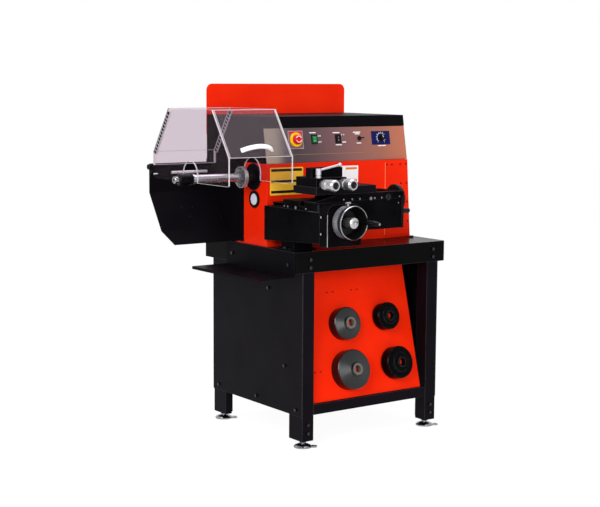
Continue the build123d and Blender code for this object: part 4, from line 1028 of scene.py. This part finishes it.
def knurl(angle):
    """Ribs on the two outer points of a four-point ring, none on its feet."""
    ribs = RIB_H * np.abs(np.sin(RIBS * angle / 2))
    return np.outer([0, 1, 1, 0], ribs)


ribbed = lathe([(18.5, 16.5), (20.1, 17.5), (20.1, 36.5), (18.5, 37.5)], RIBS * 4, knurl)
end = lathe([(0, 80.2), (13.8, 80.2), (13.8, 82), (12.4, 82.9), (0, 82.9)], 40)
for side, x in KNOB_X.items():
    spot = (x, KNOB_Y, KNOB_Z)
    piece(f"knurl_{side}", f"knob_{side}", "bright_steel", ground, lay(ribbed, FRONT, spot))
    piece(f"knob_end_{side}", f"knob_{side}", "black_plastic", black_plastic, lay(end, FRONT, spot))

# %% [markdown]
# ## Ribbed lens
# The lamp's lens is pressed glass with upright ribs: a disc whose face rises and falls with a cosine. The
# disc is a grid of rings and spokes, so the ribs cross it as heights on that grid.

# %% Lens
LAMP = (-32.0, 304.0, 988.0)
LENS_R, LENS_T, RIB_RISE, RIB_PITCH = 23.2, 1.0, 0.7, 6
radii = np.linspace(0, LENS_R, 24)
turn = np.linspace(0, 2 * np.pi, 96, endpoint=False)
flat_x, flat_y = np.outer(radii, np.cos(turn)), np.outer(radii, np.sin(turn))
face = np.stack([flat_x, flat_y, LENS_T + RIB_RISE * np.cos(2 * np.pi * flat_x / RIB_PITCH)], -1)
back_ring = np.stack([flat_x[-1:], flat_y[-1:], np.zeros((1, len(turn)))], -1)
back_middle = np.zeros((1, len(turn), 3))
lens = grid(np.concatenate([face, back_ring, back_middle]), close_u=False)
piece("lens_ribs", "stand", "lamp_glass", lamp_glass, lay(lens, LEFTWARD, LAMP), sharp=60)

# %% [markdown]
# ## Painted highlights, strip, screw ends and cap
# A pale steel bar on the front block's left corner and a light red bar along the access panel's left edge
# are painted highlights. The saddle's left side carries a small oiled strip that holds the wiper of the
# slide. Thin bars give all of these. Screw ends and the oil cap are turned.

# %% Edges and strip
BLOCK_LEFT, BLOCK_FRONT = -40.0, -210.0
DOOR_LEFT, DOOR_FRONT = 576.0, 204.5
WIPER_X = -40.3
# Each bar has the place of its middle, then its half sizes.
wiper = bars([(WIPER_X, -119, 971.6), (WIPER_X, -150, 985)], [(0.5, 32, 1.2), (0.5, 1.4, 14)], UPRIGHT)
piece("way_wiper", "saddle", "steel", dark_steel, wiper)
# A light red bar along the access panel's left edge: a painted highlight.
door_highlight = bars([(DOOR_LEFT + 0.9, DOOR_FRONT + 0.6, 969)], (1.9, 0.9, 156), UPRIGHT)
piece("door_edge", "stand", "red_paint", highlight_red, door_highlight)
# A bar of pale ground steel on the front block's left corner: a painted highlight.
highlight = bars([(BLOCK_LEFT + 0.5, BLOCK_FRONT + 0.5, 905)], (0.9, 0.9, 62), UPRIGHT)
piece("block_edge", "stand", "steel", ground, highlight)

# %% Screw ends and cap
SCREW_Y, SCREW_Z = -173, (955, 890)
OIL_CAP = (323, -125, 1013)
head = lathe([(0, 3.6), (4.2, 3.6), (4.2, 4.4), (3.0, 5.0), (0, 5.0)], 24)
heads = [lay(head, LEFTWARD, (BLOCK_LEFT, SCREW_Y, z)) for z in SCREW_Z]
piece("block_screw_ends", "stand", "zinc", ground, *heads)
cap = lathe([(0, 5.5), (9.8, 5.5), (13.5, 3.2), (13.5, 0.1), (0, 0.1)], 48)
piece("oil_cap", "saddle", "black_plastic", black_plastic, lay(cap, FRONT, OIL_CAP))

# %% [markdown]
# ## Shade in the rack's holes
# Six screw holes of the leaning rack are closed by black discs, so that no light shows through: painted
# shade for the dark inside of the stand seen through them. Each is a small domed disc with a thin brim,
# laid flat and then leaned back with the sheet.

# %% Rack hole shades
RACK = leaning(RACK_LEAN)
RACK_FOOT = np.array([0.0, 14.0, 177.0])
RACK_HOLES = [(212, 442), (242, 442), (337, 442), (368, 442), (95, 123), (124, 123)]
# Black domed discs that stand for the shade inside the holes.
hole_shade = lathe([(0, 0.5), (2.2, 0.5), (3.4, 0.1), (3.4, 0), (2.9, 0), (2.9, -2.6), (0, -2.6)], 24)
hole_shades = [lay(hole_shade, RACK, RACK_FOOT + RACK @ np.array([x, up, 0.0])) for x, up in RACK_HOLES]
piece("rack_hole_shades", "stand", "black_plastic", guard_coat, *hole_shades)

# %% [markdown]
# ## Floor
# A pale floor catches a soft shadow. It shows nearly white to the camera and in mirrors, by a glow that
# only such rays see, and it sends the machine no more light than a pale floor would.

# %% Floor
FLOOR_VEIL, FLOOR_GLOW, FLOOR_REACH = 0.86, 1.1, 14.0
WHITE = linear("#ffffff")
floor_mat, shader, where = finish("pale studio floor", "#f4f4f4", {"Roughness": 0.9})


def seen_share(tree):
    """One for rays from the camera, a mirror or a clear sheet, zero for rays that carry light."""
    path = add(tree, "ShaderNodeLightPath").outputs
    mirrored = add(
        tree, "ShaderNodeMath", {"operation": "MAXIMUM"},
        {0: path["Is Glossy Ray"], 1: path["Is Transmission Ray"]},
    )
    both = add(
        tree, "ShaderNodeMath", {"operation": "MAXIMUM"},
        {0: path["Is Camera Ray"], 1: mirrored.outputs["Value"]},
    )
    return both.outputs["Value"]


tree = floor_mat.node_tree
veil = add(tree, "ShaderNodeMath", {"operation": "MULTIPLY", 1: FLOOR_VEIL}, {0: seen_share(tree)})
glow = add(tree, "ShaderNodeEmission", {"Color": WHITE, "Strength": FLOOR_GLOW})
blend = add(
    tree, "ShaderNodeMixShader", None,
    {0: veil.outputs["Value"], 1: shader.outputs["BSDF"], 2: glow.outputs["Emission"]},
)
tree.links.new(blend.outputs["Shader"], tree.nodes["Material Output"].inputs["Surface"])
floor_corners = [(x * FLOOR_REACH, y * FLOOR_REACH, 0) for x, y in ((-1, -1), (1, -1), (1, 1), (-1, 1))]
floor_mesh = bpy.data.meshes.new("floor")
floor_mesh.from_pydata(floor_corners, [], [(0, 1, 2, 3)])
floor_mesh.materials.append(floor_mat)
floor = bpy.data.objects.new("floor", floor_mesh)
bpy.context.scene.collection.objects.link(floor)
print("floor reaches", FLOOR_REACH, "m")

# %% [markdown]
# ## Light
# Three large lamps make plain studio light: a key from the left front, a weaker fill from the front and a
# broad one overhead. The backdrop shows white and gives less light than it shows, so that the lamps shape
# the machine. Large lamps have soft shadows, as a photographer's soft boxes do.

# %% World and lamps
WORLD_LIGHT, WORLD_SEEN = 0.35, 1.0
AIM = Vector((0.0, 0.0, 0.8))
scene = bpy.context.scene
scene.view_settings.view_transform = "Standard"
world = bpy.data.worlds.new("studio")
scene.world = world
world.use_nodes = True
tree = world.node_tree
backdrop = tree.nodes["Background"]
backdrop.inputs["Color"].default_value = WHITE
strength = add(
    tree, "ShaderNodeMapRange", {"To Min": WORLD_LIGHT, "To Max": WORLD_SEEN}, {"Value": seen_share(tree)}
)
tree.links.new(strength.outputs["Result"], backdrop.inputs["Strength"])


def lamp(name, place, size, watts):
    """Rectangular area lamp that faces the middle of the machine."""
    data = bpy.data.lights.new(name, "AREA")
    data.shape = "RECTANGLE"
    data.size, data.size_y = size
    data.energy = watts
    new = bpy.data.objects.new(name, data)
    new.location = place
    new.rotation_euler = (AIM - Vector(place)).to_track_quat("-Z", "Y").to_euler()
    scene.collection.objects.link(new)


lamp("key", (-3.6, -2.2, 2.6), size=(2.2, 2.2), watts=158)
lamp("fill", (-0.6, -4.7, 1.6), size=(2.4, 2.0), watts=90)
lamp("overhead", (0.2, 0.2, 3.6), size=(2.6, 2.6), watts=80)
print("lamps:", [light.name for light in bpy.data.lights])

# %% [markdown]
# ## Camera
# The camera stands a little under six metres off, to the left of the front and about as high as the
# machine's top, and looks slightly down. Its three angles are turned into three axes, and its lens follows
# from the focal length in pixels, the image's width and the sensor's width.

# %% Camera
CAMERA_AT = (-3.359, -4.5835, 1.4875)
AZIMUTH, ELEVATION, ROLL = (math.radians(angle) for angle in (-35.69, 7.24, 0.36))
FOCAL_PX, IMAGE_W, SENSOR_MM = 1393.5, 600, 36.0
level = math.cos(ELEVATION)
back = Vector((math.sin(AZIMUTH) * level, -math.cos(AZIMUTH) * level, math.sin(ELEVATION)))
right = Vector((0, 0, 1)).cross(back).normalized()
up = back.cross(right)
turned_right = right * math.cos(ROLL) + up * math.sin(ROLL)
turned_up = up * math.cos(ROLL) - right * math.sin(ROLL)
facing = Matrix((turned_right, turned_up, back)).transposed().to_4x4()
camera_data = bpy.data.cameras.new("camera")
camera_data.sensor_width = SENSOR_MM
camera_data.lens = FOCAL_PX / IMAGE_W * SENSOR_MM
camera = bpy.data.objects.new("camera", camera_data)
camera.matrix_world = Matrix.Translation(CAMERA_AT) @ facing
scene.collection.objects.link(camera)
scene.camera = camera
print("camera lens", round(camera_data.lens, 2), "mm")
